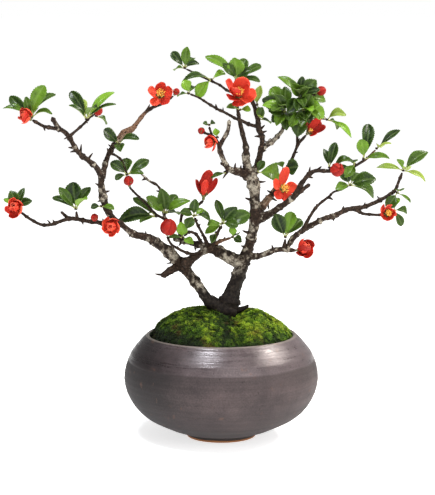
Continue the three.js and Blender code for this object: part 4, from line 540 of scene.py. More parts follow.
# Knots of dark bark on the old wood: x, z, radius
DARK_KNOTS = [(-9, 167, 7), (-34, 150, 8), (-70, 175, 5), (23, 168, 4), (29, 191, 5), (19, 228, 5)]

# Which leaves of a spray are pale young ones, counted from 0
YOUNG_LEAVES = {
    "oliveUpright": (0, 1, 2), "paleLeaf": (0, 1), "rightShoot": (1, 2), "leftForkTuft": (1,),
    "outerTip": (1, 2, 3),
}

# How light the leaves of a spray are, from its first leaf on: 0 is dark
LEAF_TONES = {
    "lowRightPair": (0.0, 0.55, 0.2, 0.8), "uprightPair": (0.6, 0.0, 0.45), "rightShoot": (0.0,),
    "thornyTip": (0.1, 0.3, 0.0, 0.5, 0.2), "outerTip": (0.3,), "roundLeafLeft": (0.5, 0.1),
    "roundLeafRight": (0.0,), "leftForkTuft": (0.0, 0.5, 0.1, 0.7, 0.3), "fanLeaf": (0.0,),
    "lowLeftSpurTuft": (0.0, 0.15, 0.3, 0.1, 0.8), "hangingTuft": (0.0, 0.1, 0.3, 0.2),
    "tanLimbTuft": (0.0, 0.05, 0.2), "darkPair": (0.0, 0.5, 0.3),
    "crownHeart": (0.0, 0.5, 0.15, 0.0, 0.3, 0.1, 0.6), "crownEast": (0.35, 0.7, 0.0, 0.15, 0.5),
    "crownNorth": (0.5, 0.0, 0.2, 0.5, 0.0, 0.3),
}

# Blooms of the darker red of the buds
DARK_BLOOMS = ("hangingTrumpet", "halfOpenRight", "lowRightBloom")


# Numbers that are the same in each run
def scatter(a, b):
    """A number from 0 to 1 that belongs to a and b."""
    wave = math.sin(a * 127.1 + b * 311.7) * 43758.5453
    return wave - math.floor(wave)


def spread(a, b):
    return 2 * scatter(a, b) - 1


def seed_of(name):
    return sum(map(ord, name))


# Points and directions
def seen(x, z, depth):
    """A point seen at x, z in the front view, at a depth behind the axis of the pot."""
    aside, above = x - VIEW_SIDE, z - LEAN_HEIGHT
    leaned_x = aside * math.cos(LEAN) - above * math.sin(LEAN)
    leaned_z = LEAN_HEIGHT + aside * math.sin(LEAN) + above * math.cos(LEAN)
    reach = 1 + depth / VIEW_DISTANCE
    side = VIEW_SIDE + SHIFT_SIDE + reach * leaned_x
    height = VIEW_HEIGHT + SHIFT_UP + reach * (leaned_z - VIEW_HEIGHT)
    return np.array([side, depth, height])


def unit(vector):
    return vector / max(np.linalg.norm(vector), 1e-9)


def square_to(vector, axis):
    """The part of a vector that is square to an axis, at unit length."""
    return unit(vector - axis * float(np.dot(vector, axis)))


def sides_of(vector, axis):
    """Two directions that are square to an axis and to each other, the first one towards a vector."""
    side = square_to(np.array(vector), axis)
    return side, np.cross(axis, side)


def turned(angle, side, other):
    """The direction at an angle from one side towards the other."""
    return math.cos(angle) * side + math.sin(angle) * other


def curve_through(points, count):
    """Points along a centripetal Catmull-Rom curve, the same share of each knot interval apart."""
    points = [np.array(point, float) for point in points]
    ends = [2 * points[0] - points[1], *points, 2 * points[-1] - points[-2]]
    made = []
    for i in range(count + 1):
        place = (i / count) * (len(points) - 1)
        low = min(int(place), len(points) - 2)
        t = place - low
        p0, p1, p2, p3 = ends[low:low + 4]
        d0, d1, d2 = (max(np.linalg.norm(b - a) ** 0.5, 1e-3) for a, b in ((p0, p1), (p1, p2), (p2, p3)))
        start = d1 * ((p1 - p0) / d0 - (p2 - p0) / (d0 + d1) + (p2 - p1) / d1)
        stop = d1 * ((p2 - p1) / d1 - (p3 - p1) / (d1 + d2) + (p3 - p2) / d2)
        bend = -3 * p1 + 3 * p2 - 2 * start - stop
        twist = 2 * p1 - 2 * p2 + start + stop
        made.append(p1 + start * t + bend * t * t + twist * t ** 3)
    return np.array(made)


# Meshes
class Shape:
    """A mesh in the making: vertices in millimetres, faces, and values painted on the vertices."""

    def __init__(self):
        self.vertices = []
        self.faces = []
        self.slots = []
        self.paint = {}
        self.count = 0

    def add(self, vertices, faces, slot=0, **paint):
        vertices = np.asarray(vertices, float)
        self.vertices.append(vertices)
        self.faces.extend(tuple(corner + self.count for corner in face) for face in faces)
        self.slots.extend([slot] * len(faces))
        for name in {**self.paint, **paint}:
            rows = self.paint.setdefault(name, [np.zeros(self.count)])
            rows.append(np.broadcast_to(paint.get(name, 0.0), (len(vertices),)))
        self.count += len(vertices)

    def build(self, name, *looks, smooth=True):
        """The object, with one look for each slot of its faces."""
        mesh = bpy.data.meshes.new(name)
        mesh.from_pydata((np.concatenate(self.vertices) * MM).tolist(), [], self.faces)
        for look in looks:
            mesh.materials.append(LOOKS[look])
        mesh.polygons.foreach_set("material_index", self.slots)
        mesh.polygons.foreach_set("use_smooth", [smooth] * len(self.faces))
        for label, rows in self.paint.items():
            layer = mesh.attributes.new(label, "FLOAT", "POINT")
            layer.data.foreach_set("value", np.concatenate(rows).astype(np.float32))
        mesh.update()
        made = bpy.data.objects.new(name, mesh)
        bpy.context.scene.collection.objects.link(made)
        return made


def grid_faces(rows, columns, closed=False, flip=False):
    """Faces of a grid of vertices, numbered row by row. A closed one wraps round its columns."""
    faces = []
    for row in range(rows - 1):
        for column in range(columns if closed else columns - 1):
            low = row * columns
            high = low + columns
            beside = (column + 1) % columns
            face = (low + column, low + beside, high + beside, high + column)
            faces.append(face[::-1] if flip else face)
    return faces


def tube(shape, line, radii, sides, slot=0, round_end=True, swell=None, **paint):
    """A closed tube along a line, with one radius for each place and a swell for each vertex."""
    line = np.asarray(line, float)
    side = np.array([0.3, 1.0, 0.2])
    turns = math.tau * np.arange(sides) / sides
    rings = []
    for i, point in enumerate(line):
        along = unit(line[min(i + 1, len(line) - 1)] - line[max(i - 1, 0)])
        side, other = sides_of(side, along)
        ring = np.outer(np.cos(turns), side) + np.outer(np.sin(turns), other)
        reach = radii[i] * (swell[i][:, None] if swell is not None else 1.0)
        rings.append(point + reach * ring)
    last = line[-1] + unit(line[-1] - line[-2]) * radii[-1] * (0.9 if round_end else 0.1)
    faces = grid_faces(len(line), sides, closed=True)
    top = (len(line) - 1) * sides
    root = top + sides
    for corner in range(sides):
        beside = (corner + 1) % sides
        faces += [(root, beside, corner), (top + corner, top + beside, root + 1)]
    for name, value in paint.items():
        if np.ndim(value):
            paint[name] = np.concatenate([np.repeat(value, sides), [value[0], value[-1]]])
    shape.add(np.vstack([*rings, line[:1], last[None]]), faces, slot, **paint)


def sheet_blade(shape, top, thick, rows, columns, slot, **paint):
    """A thin closed blade from a grid of upper points: its lower face lies a thickness below."""
    top = np.asarray(top, float).reshape(rows, columns, 3)
    up = np.cross(np.gradient(top, axis=1), np.gradient(top, axis=0))
    up /= np.maximum(np.linalg.norm(up, axis=2, keepdims=True), 1e-9)
    low = top - up * thick
    count = rows * columns
    faces = grid_faces(rows, columns)
    faces += [tuple(corner + count for corner in face[::-1]) for face in faces]
    grid = np.arange(count).reshape(rows, columns)
    edge = [*grid[0], *grid[1:, -1], *grid[-1, -2::-1], *grid[-2:0:-1, 0]]
    edge = [int(corner) for corner in edge]
    for here, there in zip(edge, edge[1:] + edge[:1]):
        faces.append((there, here, here + count, there + count))
    both = {name: np.tile(np.broadcast_to(value, (count,)), 2) for name, value in paint.items()}
    both["under"] = np.repeat([0.0, 1.0], count)
    shape.add(np.vstack([top.reshape(-1, 3), low.reshape(-1, 3)]), faces, slot, **both)


# Materials
class Graph:
    """The nodes of a material or of the world. Nearly every method adds a node and returns its output."""

    def __init__(self, owner):
        owner.use_nodes = True
        self.owner = owner
        self.nodes = owner.node_tree.nodes
        self.links = owner.node_tree.links

    def feed(self, socket, value):
        """Link an output to a socket, or set the socket to a number or a colour."""
        if isinstance(value, bpy.types.NodeSocket):
            self.links.new(value, socket)
        elif socket.type == "RGBA":
            socket.default_value = (*value, 1.0)
        else:
            socket.default_value = value

    def add(self, kind, inputs, **settings):
        made = self.nodes.new("ShaderNode" + kind)
        for name, value in settings.items():
            setattr(made, name, value)
        for name, value in inputs.items():
            self.feed(made.inputs[name], value)
        return made

    def place(self, kind="Object"):
        """The X, Y and Z of a point, in metres, or of a direction."""
        return self.add("SeparateXYZ", {0: self.add("TexCoord", {}).outputs[kind]}).outputs

    def painted(self, name):
        """A value painted on the vertices."""
        return self.add("Attribute", {}, attribute_name=name).outputs["Fac"]

    def noise(self, size, detail, roughness=0.6, stretch=None):
        """Noise with lumps of about the given size in millimetres, squeezed by stretch along each axis."""
        where = self.add("TexCoord", {}).outputs["Object"]
        if stretch:
            where = self.add("Mapping", {"Vector": where, "Scale": stretch}).outputs["Vector"]
        inputs = {"Vector": where, "Scale": 1 / (size * MM), "Detail": detail, "Roughness": roughness}
        return self.add("TexNoise", inputs).outputs["Fac"]

    def ramp(self, source, *stops):
        """Colours along a value, from stops that each have a place and a colour."""
        made = self.add("ValToRGB", {"Fac": source})
        elements = made.color_ramp.elements
        while len(elements) < len(stops):
            elements.new(0.5)
        for element, (place, color) in zip(elements, stops):
            element.position = place
            element.color = (*color, 1.0)
        return made.outputs["Color"]

    def mix(self, share, low, high, kind="MIX"):
        """A mix of two colours by a share."""
        return self.add("Mix", {0: share, 6: low, 7: high}, data_type="RGBA", blend_type=kind).outputs[2]

    def maths(self, operation, first, second=0.0):
        return self.add("Math", {0: first, 1: second}, operation=operation).outputs[0]

    def plus(self, first, second):
        return self.maths("ADD", first, second)

    def times(self, first, second):
        return self.maths("MULTIPLY", first, second)

    def between(self, source, low, high, to_low=0.0, to_high=1.0):
        """A smooth change from one value to another while the source goes from low to high."""
        inputs = {"Value": source, "From Min": low, "From Max": high, "To Min": to_low, "To Max": to_high}
        return self.add("MapRange", inputs, interpolation_type="SMOOTHSTEP").outputs["Result"]

    def stain(self, color, *stains):
        """A colour under stains that each have a mask, a strength and a colour."""
        for mask, strength, stain in stains:
            color = self.mix(self.times(mask, strength), color, stain)
        return color

    def bump(self, source, depth, strength, below=None):
        """Relief of a depth in millimetres, on top of the relief below it."""
        inputs = {"Height": source, "Distance": depth * MM, "Strength": strength}
        if below:
            inputs["Normal"] = below
        return self.add("Bump", inputs).outputs["Normal"]

    def finish(self, color, roughness, specular, normal, **others):
        """The material, once its shader has the values and outputs given."""
        inputs = {"Base Color": color, "Roughness": roughness, "Specular IOR Level": specular, **others}
        if normal:
            inputs["Normal"] = normal
        for name, value in inputs.items():
            self.feed(self.nodes["Principled BSDF"].inputs[name.replace("_", " ")], value)
        return self.owner


def new_look(name):
    return Graph(bpy.data.materials.new(name))


def grey(level):
    return (level, level, level)


def stoneware_material():
    """Dark iron-bearing stoneware: greyer above the belly, browner below, bare clay under the foot."""
    look = new_look("stoneware")
    place = look.place()
    height = place["Z"]
    cloud = look.noise(24, 5)
    rings = look.noise(60, 5, 0.75, stretch=(0.5, 0.5, 14))
    speck = look.noise(2.2, 3, 0.7)
    blotch = look.noise(10, 5, 0.7)
    grain = look.noise(1.3, 3, 0.75)
    level = look.plus(height, look.times(rings, 0.005))
    above = look.between(level, 0.0685, 0.0705)
    shade = look.between(level, 0.052, 0.0685)
    upper = look.ramp(cloud, (0.3, (0.062, 0.047, 0.049)), (0.7, (0.11, 0.087, 0.089)))
    lower = look.ramp(cloud, (0.3, (0.042, 0.031, 0.031)), (0.7, (0.085, 0.062, 0.061)))
    lower = look.stain(lower, (shade, 0.5, (0.03, 0.022, 0.022)))
    color = look.mix(above, lower, upper)
    # Painted shade: the body is darkened towards the bottom.
    painted_low_shade = look.between(height, 0.014, 0.05, 0.68, 0.0)
    color = look.mix(painted_low_shade, color, (0.018, 0.013, 0.013))
    # Painted shade: the left side of the pot is darkened.
    painted_left_shade = look.plus(place["X"], look.times(cloud, 0.03))
    painted_left_shade = look.between(painted_left_shade, -0.05, 0.0, 0.9, 0.0)
    color = look.mix(painted_left_shade, color, (0.014, 0.011, 0.011))
    streak = look.between(rings, 0.36, 0.64)
    streaks = look.ramp(streak, (0.0, (0.62, 0.6, 0.6)), (1.0, (1.3, 1.27, 1.27)))
    color = look.mix(0.4, color, streaks, "MULTIPLY")
    grains = look.ramp(grain, (0.35, (0.62, 0.6, 0.6)), (0.66, (1.4, 1.34, 1.34)))
    color = look.mix(0.6, color, grains, "MULTIPLY")
    rust = look.between(blotch, 0.6, 0.72)
    pits = look.between(look.noise(5.5, 2, 0.5), 0.7, 0.75)
    dots = look.between(speck, 0.66, 0.72)
    # Painted highlight: a light line along the lip of the rim.
    rim = look.between(height, 0.0868, 0.0875)
    # Painted shade: the side of the foot is darkened under the body.
    foot = look.between(height, 0.003, 0.0055, 1.0, 0.0)
    color = look.stain(
        color, (rust, 0.4, (0.16, 0.075, 0.045)), (pits, 0.75, (0.02, 0.013, 0.012)),
        (dots, 0.55, (0.03, 0.02, 0.018)), (rim, 0.3, (0.36, 0.31, 0.25)), (foot, 0.7, (0.03, 0.022, 0.02)),
    )
    clay = look.between(look.plus(height, look.times(cloud, 0.002)), 0.0022, 0.003, 1.0, 0.0)
    color = look.mix(clay, color, (0.34, 0.15, 0.06))
    gloss = look.ramp(blotch, (0.35, grey(0.2)), (0.7, grey(0.36)))
    gloss = look.stain(gloss, (streak, 0.5, grey(0.46)))
    gloss = look.mix(clay, look.mix(above, grey(0.72), gloss), grey(0.85))
    normal = look.bump(rings, 0.5, 0.7, look.bump(speck, 0.1, 0.5))
    return look.finish(color, gloss, 0.45, normal, Metallic=0.15)


def moss_material():
    look = new_look("moss")
    clump = look.noise(14, 3)
    # The painted tone carries painted shade from the shoots as well as their own tone.
    color = look.ramp(
        look.painted("tone"), (0.0, (0.003, 0.006, 0.001)), (0.35, (0.016, 0.038, 0.002)),
        (0.7, (0.075, 0.145, 0.005)), (1.0, (0.26, 0.36, 0.02)),
    )
    warm = look.ramp(clump, (0.35, (0.8, 1.0, 0.7)), (0.65, (1.25, 1.05, 0.9)))
    color = look.mix(0.8, color, warm, "MULTIPLY")
    color = look.stain(color, (look.between(clump, 0.58, 0.68), 0.5, (0.12, 0.065, 0.015)))
    return look.finish(color, 0.75, 0.25, look.bump(look.noise(1.6, 3), 0.3, 0.5))


def bark_material():
    """Brown on twigs, with silver patches of flaking bark on old wood, and nearly black at its base."""
    look = new_look("bark")
    place = look.place()
    coarse = look.noise(6, 5, 0.65)
    patch = look.noise(17, 2, 0.5)
    grain = look.noise(2.2, 5, 0.7)
    flakes = look.noise(1.1, 3)
    twig = look.ramp(
        grain, (0.3, (0.01, 0.006, 0.004)), (0.52, (0.028, 0.017, 0.011)), (0.78, (0.12, 0.072, 0.048)),
    )
    old = look.ramp(
        coarse, (0.43, (0.02, 0.013, 0.009)), (0.49, (0.1, 0.078, 0.058)), (0.56, (0.34, 0.3, 0.235)),
    )
    cracks = look.ramp(grain, (0.38, (0.12, 0.1, 0.08)), (0.56, grey(1.15)))
    old = look.mix(0.75, old, cracks, "MULTIPLY")
    silver = look.plus(look.painted("age"), look.times(coarse, 1.2))
    silver = look.plus(silver, look.times(patch, 1.3))
    color = look.mix(look.between(silver, 1.76, 1.92), twig, old)
    ruddy = look.ramp(grain, (0.3, (0.07, 0.032, 0.018)), (0.7, (0.4, 0.22, 0.13)))
    color = look.stain(color, (look.painted("warm"), 0.6, ruddy))
    aside = look.maths("MINIMUM", place["X"], 0.03)
    base = look.maths("SUBTRACT", place["Z"], look.times(aside, 0.55))
    base = look.plus(base, look.times(coarse, 0.03))
    rough = look.ramp(grain, (0.35, (0.003, 0.002, 0.002)), (0.7, (0.022, 0.015, 0.011)))
    color = look.mix(look.between(base, 0.143, 0.16, 0.97, 0.0), color, rough)
    normal = look.bump(grain, 1.1, 1.0, look.bump(flakes, 0.2, 0.8))
    return look.finish(color, 0.7, 0.14, normal)


def leaf_material(name, dark, light, pale, roughness):
    """A leaf: darker or lighter by its own tone, with faint veins on top and a pale underside."""
    look = new_look(name)
    under = look.painted("under")
    shade = look.plus(look.painted("tone"), look.times(look.noise(4.5, 4), 0.5))
    middle = [0.76 * low + 0.24 * high for low, high in zip(dark, light)]
    color = look.ramp(shade, (0.2, dark), (0.6, middle), (1.0, light))
    rim = [0.75 * part for part in light]
    color = look.stain(
        color, (look.painted("edge"), 0.3, rim), (look.painted("vein"), 0.22, pale), (under, 0.4, pale),
    )
    gloss = look.mix(under, grey(roughness), grey(0.6))
    return look.finish(color, gloss, 0.19, look.bump(look.noise(2.0, 2, 0.5), 0.12, 0.4))


def petal_material(name, low, high, pale_share):
    """A petal with faint lengthwise lines: paler at its root and its edge by the given share."""
    look = new_look(name)
    run = look.painted("run")
    streaks = look.times(look.noise(1.8, 3), 0.5)
    color = look.ramp(look.plus(streaks, look.painted("tone")), (0.1, low), (1.0, high))
    root = look.between(run, 0.3, 0.0)
    edge = look.between(run, 0.86, 1.0)
    color = look.stain(color, (root, pale_share, (0.9, 0.26, 0.08)), (edge, pale_share, (0.9, 0.2, 0.1)))
    lines = look.times(look.maths("SINE", look.times(look.painted("across"), 26.0)), 0.1)
    normal = look.bump(look.plus(streaks, lines), 0.25, 0.5)
    return look.finish(color, 0.6, 0.2, normal, Subsurface_Weight=0.08, Subsurface_Scale=1.5 * MM)


def simple_material(name, low, high, size, roughness, depth):
    """Two tones in lumps of one size, with a bump of the same lumps."""
    look = new_look(name)
    lumps = look.noise(size, 4, 0.65)
    color = look.ramp(lumps, (0.32, low), (0.68, high))
    return look.finish(color, roughness, 0.4, look.bump(lumps, depth, 0.7))


# Dark and light tone, size of the lumps, roughness and depth of the relief
SIMPLE_LOOKS = {
    "moss_bed": ((0.012, 0.016, 0.005), (0.06, 0.09, 0.015), 3.0, 0.95, 0.8),
    "soil": ((0.03, 0.018, 0.012), (0.11, 0.068, 0.042), 2.2, 0.95, 0.6),
    "screen": (grey(0.012), grey(0.035), 0.8, 0.6, 0.1),
    "stalk": ((0.2, 0.26, 0.06), (0.42, 0.4, 0.14), 1.5, 0.55, 0.05),
    "calyx": ((0.04, 0.075, 0.02), (0.2, 0.16, 0.05), 1.6, 0.5, 0.08),
    "filament": ((0.76, 0.34, 0.09), (0.9, 0.56, 0.22), 0.6, 0.5, 0.03),
    "anther": ((0.74, 0.32, 0.03), (0.92, 0.55, 0.09), 0.5, 0.8, 0.08),
}
LOOKS = {name: simple_material(name, *values) for name, values in SIMPLE_LOOKS.items()}
LOOKS["stoneware"] = stoneware_material()
LOOKS["moss"] = moss_material()
LOOKS["bark"] = bark_material()
LOOKS["leaf"] = leaf_material("leaf", (0.002, 0.01, 0.002), (0.15, 0.29, 0.02), (0.25, 0.36, 0.1), 0.3)
LOOKS["young_leaf"] = leaf_material(
    "young_leaf", (0.13, 0.2, 0.02), (0.33, 0.42, 0.07), (0.5, 0.58, 0.22), 0.34,
)
LOOKS["petal"] = petal_material("petal", (0.36, 0.006, 0.005), (0.74, 0.07, 0.032), 0.3)
LOOKS["closed_petal"] = petal_material("closed_petal", (0.15, 0.001, 0.001), (0.49, 0.022, 0.01), 0.12)


# Pot
def turned_rows(profile, step):
    """A profile of (radius, z) resampled along its smooth curve, at about the given step."""
    line = [(radius, 0.0, z) for radius, z in profile]
    length = sum(math.dist(a, b) for a, b in zip(line, line[1:]))
    return curve_through(line, int(length / step))[:, (0, 2)]


def pot_rows():
    """The rings of the pot as (radius, z), up its outside and down its inside, and how many are outside."""
    belly, rim, mouth, wall = POT["belly"], POT["rim"], POT["mouth"], POT["wall"]
    foot, inner, recess, drain = POT["foot"], POT["foot_inner"], POT["foot_recess"], POT["drain"]
    start = [(foot, 0.3), (foot + 0.2, 2), (foot + 0.4, 4.4), (foot + 3, 5)]
    outside = [
        (belly * 0.438, 5.4), (belly * 0.523, 7.6), (belly * 0.614, 11), (belly * 0.759, 17.2),
        (belly * 0.861, 24.2), (belly * 0.937, 33), (belly * 0.984, 42), (belly, 52), (belly * 0.981, 62),
        (belly * 0.933, 72), (belly * 0.861, 80), (belly * 0.809, 84.8), (rim + 0.9, 87.2),
        (rim - 0.4, POT["height"]), (mouth, 87.3),
    ]
    inside = [
        (mouth + 2.4, 82.7), (belly * 0.933 - wall, 71), (belly - wall, 53), (belly * 0.937 - wall, 34.5),
        (belly * 0.759 - wall, 19), (belly * 0.523 - wall, POT["floor"]),
    ]
    under = [
        (drain, POT["floor"]), (drain, recess), (inner - 0.8, recess), (inner, 3.2), (inner + 0.4, 0.4),
        (inner + 0.8, 0), (foot - 0.4, 0),
    ]
    rows = [start, turned_rows(outside, 0.9), turned_rows(inside, 6.0), under]
    return np.vstack(rows), len(rows[0]) + len(rows[1])


def make_pot():
    rows, outer_rows = pot_rows()
    vertices = []
    for row, (radius, z) in enumerate(rows):
        thrown = row < outer_rows and THROWN[0] < z < THROWN[1]
        rings = 0.05 * math.sin(z * 2.9) + 0.05 * math.sin(z * 1.13 + 1)
        ridge = 0.12 * math.exp(-(((z - RIDGE) / 1.4) ** 2))
        for side in range(POT_SIDES):
            turn = math.tau * side / POT_SIDES
            wave = 0.16 * math.sin(turn * 2 + z * 0.03) + 0.1 * math.sin(turn * 5 + z * 0.11)
            reach = radius + rings + ridge + wave if thrown else radius
            vertices.append((reach * math.cos(turn), reach * math.sin(turn), z))
    count = len(vertices)
    faces = grid_faces(len(rows) + 1, POT_SIDES, closed=True)
    shape = Shape()
    shape.add(vertices, [tuple(corner % count for corner in face) for face in faces])
    return shape.build("pot_thrown", "stoneware")


# Moss
def moss_height(x, y):
    """The height of the even mound of moss, which falls to the pot's rim at its edge."""
    share = 0.0
    for middle, radius, squash, power in MOUNDS:
        share = max(share, 1 - (math.hypot(x - middle, squash * y) / radius) ** power)
    inside = max(0.0, 1 - (math.hypot(x, y) / MOSS["radius"]) ** 6)
    return MOSS["rim"] + MOSS["height"] * share * min(1.0, 2.2 * inside)


def moss_lump(x, y):
    """How far the cushions of moss stand above or below the even mound."""
    place = Vector((x, y, 0.0))
    cushion = abs(noise.noise(place / 9 + Vector((3.1, 0, 0))))
    return 1.4 - 6.5 * max(0.0, 0.2 - cushion) + 1.1 * noise.noise(place / 3.4)


def make_moss_bed():
    vertices = []
    for row in range(MOSS_ROWS + 1):
        radius = MOSS["radius"] * min(row, MOSS_ROWS - 1) / (MOSS_ROWS - 1)
        edge = min(1.0, (MOSS["radius"] - radius) / MOSS_EDGE)
        for side in range(MOSS_SIDES):
            turn = math.tau * side / MOSS_SIDES
            x, y = radius * math.cos(turn), radius * math.sin(turn)
            z = moss_height(x, y) + edge * moss_lump(x, y) - BED_DEPTH
            vertices.append((x, y, z if row < MOSS_ROWS else MOSS["bottom"]))
    faces = grid_faces(MOSS_ROWS + 1, MOSS_SIDES, closed=True, flip=True)
    faces.append(tuple(range(len(vertices) - 1, len(vertices) - 1 - MOSS_SIDES, -1)))
    shape = Shape()
    shape.add(vertices, faces)
    return shape.build("moss_bed", "moss_bed")


def make_moss_shoots():
    """Shoots of moss, each a small star of narrow leaves that stands square to the mound."""
    vertices, faces, tones = [], [], []
    for i in range(SHOOTS):
        radius = (POT["mouth"] - 1.2) * math.sqrt((i + 0.5) / SHOOTS)
        x = radius * math.cos(i * GOLDEN_TURN) + 0.5 * spread(i, 1)
        y = radius * math.sin(i * GOLDEN_TURN) + 0.5 * spread(i, 2)
        edge = min(1.0, (MOSS["radius"] - math.hypot(x, y)) / MOSS_EDGE)
        lump = moss_lump(x, y)
        base = np.array([x, y, moss_height(x, y) + edge * lump - SHOOT_DEPTH])
        slope_x = (moss_height(x + 0.5, y) - moss_height(x - 0.5, y)) * edge
        slope_y = (moss_height(x, y + 0.5) - moss_height(x, y - 0.5)) * edge
        up = unit(np.array([-slope_x + 0.5 * spread(i, 3), -slope_y + 0.5 * spread(i, 4), 1.0]))
        side, other = sides_of([1.0, 0.2, 0.1], up)
        size = (1.5 + 0.9 * scatter(i, 5)) * (0.8 + 0.25 * min(1.0, max(-0.5, lump)))
        broad = noise.noise(Vector((x, y, 0.0)) / 22)
        valley = math.exp(-(((x - 7 - 0.1 * y) / 5) ** 2))
        rim = max(0.0, 1 - (POT["mouth"] - math.hypot(x, y)) / 9)
        # The tone holds painted shade: darker in the hollows between the cushions, in the valley between the
        # mounds, near the pot's rim, to the left and to the front. The rest of it differs at random.
        tone = 0.25 + 0.32 * lump + 0.35 * broad + 0.32 * spread(i, 6) - 0.3 * valley + 0.004 * y
        tone = min(1.0, max(0.0, tone + 0.0045 * x - 0.6 * rim))
        for leaf in range(SHOOT_LEAVES):
            out = turned(math.tau * (leaf + scatter(i, 7)) / SHOOT_LEAVES, side, other)
            across = np.cross(up, out)
            first = len(vertices)
            for share, width, lift in ((0.0, 0.18, 0.2), (0.55, 0.3, 0.8)):
                middle = base + size * (share * 0.75 * out + lift * up)
                vertices += [middle - width * across, middle + width * across]
            vertices.append(base + size * (0.95 * out + (0.75 + 0.4 * scatter(i, leaf)) * up))
            faces += [(first, first + 1, first + 3, first + 2), (first + 2, first + 3, first + 4)]
            # Painted shade: each shoot is darker at its root, down in the mat, and lighter at its tip.
            tones += [max(0.0, tone - 0.35)] * 2 + [tone] * 2 + [min(1.0, tone + 0.2)]
    shape = Shape()
    shape.add(vertices, faces, tone=tones)
    return shape.build("moss_shoots", "moss", smooth=False)


# Wood
def limb_rings(name, knots, seed):
    """The middle line of a limb at fine steps, its radii with their knots, and the taper of its tip."""
    points = [seen(x, z, depth) for x, z, depth, *_ in knots]
    sizes = [knot[3] for knot in knots]
    length = sum(math.dist(a, b) for a, b in zip(points, points[1:]))
    thick = max(sizes)
    count = max(4, int(length / (0.8 if thick < FINE_LIMB else 1.1)))
    line = curve_through(points, count)
    radii = np.interp(np.linspace(0, len(knots) - 1, count + 1), range(len(knots)), sizes)
    travelled = np.linspace(0, length, count + 1)
    if name != "trunk":
        radii = radii * (1 + 0.3 * np.exp(-travelled / (1.6 * sizes[0])))
    spacing = 7.5 + 1.3 * thick
    for i in range(1, int(length / spacing) + 1):
        middle = (i + 0.3 * spread(seed, i)) * spacing
        height = (0.34 if thick <= KNOBBLY_LIMB else 0.2) * (0.5 + scatter(i, seed))
        radii = radii * (1 + height * np.exp(-(((travelled - middle) / (0.55 + 0.35 * thick)) ** 2)))
    left = (length - travelled) / (2.2 * sizes[-1]) if knots[-1][-1] == "tip" else 1.0
    return line, radii, TIP_SHARE + (1 - TIP_SHARE) * np.clip(left, 0.0, 1.0)


def limb_swell(line, radii, sides, seed):
    """How far each vertex of a limb stands out: long ridges, lumps and flakes of bark."""
    swell = np.ones((len(line), sides))
    for i, (point, radius) in enumerate(zip(line, radii)):
        for corner in range(sides):
            turn = math.tau * corner / sides
            around = Vector((math.cos(turn) * radius, math.sin(turn) * radius, 0.0))
            ridge = noise.noise(around / (0.28 * radius + 0.9) + Vector((seed, 0, i * 0.045)))
            lump = noise.noise((Vector(point) + around) / (1.1 * radius + 1.2) + Vector((0, seed, 0)))
            swell[i, corner] += (0.1 if radius < 2 else 0.16) * ridge + 0.2 * lump
    return swell


def thorn(shape, root, tip, radius, bend):
    """A thorn: wide at its root and drawn out to a sharp, slightly hooked tip."""
    along = tip - root
    lift = square_to(np.array([0.1, -0.3, 1.0]), unit(along)) * bend * np.linalg.norm(along)
    shares = (0.0, 0.2, 0.42, 0.64, 0.84, 1.0)
    line = [root + along * share + lift * 4 * share * (1 - share) for share in shares]
    tube(shape, line, radius * np.array([1.3, 1.0, 0.84, 0.68, 0.48, 0.22]), 7)


def small_bud(shape, base, outward, length, radius, slot=0, **paint):
    """A pointed winter bud with scales that lap each other."""
    shares = np.linspace(0, 1, 9)
    line = [base + outward * length * share for share in shares]
    radii = radius * np.sin(np.pi * np.clip(shares * 0.86 + 0.12, 0, 1)) ** 0.8
    radii = radii * (1 + 0.1 * np.cos(shares * 19))
    tube(shape, line, np.maximum(radii, 0.06), 8, slot, **paint)


def add_spurs(shape, line, radii, seed):
    """Small buds and short spurs that stand off a limb on all its sides."""
    for i in range(6, len(line) - 5, 7):
        chosen = scatter(seed + 3, i)
        if chosen > SPUR_SHARE or line[i][2] < SPUR_HEIGHT:
            continue
        ahead = unit(line[i + 1] - line[i - 1])
        turn = math.tau * scatter(i + 5, seed)
        side = square_to(np.array([math.cos(turn), math.sin(turn), 0.35]), ahead)
        outward = unit(side + 0.5 * ahead)
        start = line[i] + side * radii[i] * 0.6
        if chosen < SPUR_THORNS:
            tip = start + outward * (1.8 + 2.6 * scatter(seed, i + 9))
            thorn(shape, start, tip, min(0.9, radii[i] * 0.6), 0.1)
        else:
            small_bud(shape, start, outward, 1.1 + 0.9 * scatter(i, seed), 0.55, age=0.05)


def make_wood():
    """The limbs with their thorns, painted with their age and with where their bark is warm brown."""
    shape = Shape()
    for seed, (name, knots) in enumerate(LIMBS.items()):
        line, radii, taper = limb_rings(name, knots, seed)
        thick = max(knot[3] for knot in knots)
        sides = 26 if thick > 4.5 else 18 if thick > 3 else 12
        age = np.clip((radii - 1.2) / 3.2, 0, 1) + SILVER.get(name, 0.0)
        for x, z, radius in DARK_KNOTS:
            apart = np.linalg.norm(line[:, (0, 2)] - seen(x, z, 0)[[0, 2]], axis=1)
            age = age - 1.1 * np.exp(-((apart / radius) ** 2))
        radii = radii * taper
        low, high = WARM.get(name, (0, 0))
        warm = np.clip((line[:, 2] - low) / 4, 0, 1) * np.clip((high - line[:, 2]) / 4, 0, 1)
        swell = limb_swell(line, radii, sides, seed)
        tube(shape, line, radii, sides, swell=swell, age=age, warm=warm)
        if thick < SPURRED_LIMB:
            add_spurs(shape, line, radii, seed)
    for thorns, radius, seed in ((THORNS, 1.25, 4), (SHORT_THORNS, 1.0, 9)):
        for i, (root, tip) in enumerate(thorns):
            thorn(shape, seen(*root), seen(*tip), radius, 0.05 * spread(i, seed))
    return shape.build("wood_bark", "bark")


# Leaves
def leaf_width(share, roundness):
    """Half the width of a leaf along its blade: a wedge at the root, and a round or a pointed tip."""
    end = 1 - share ** (1.5 + 1.1 * roundness)
    return share ** 0.85 * end ** (0.95 - 0.4 * roundness)


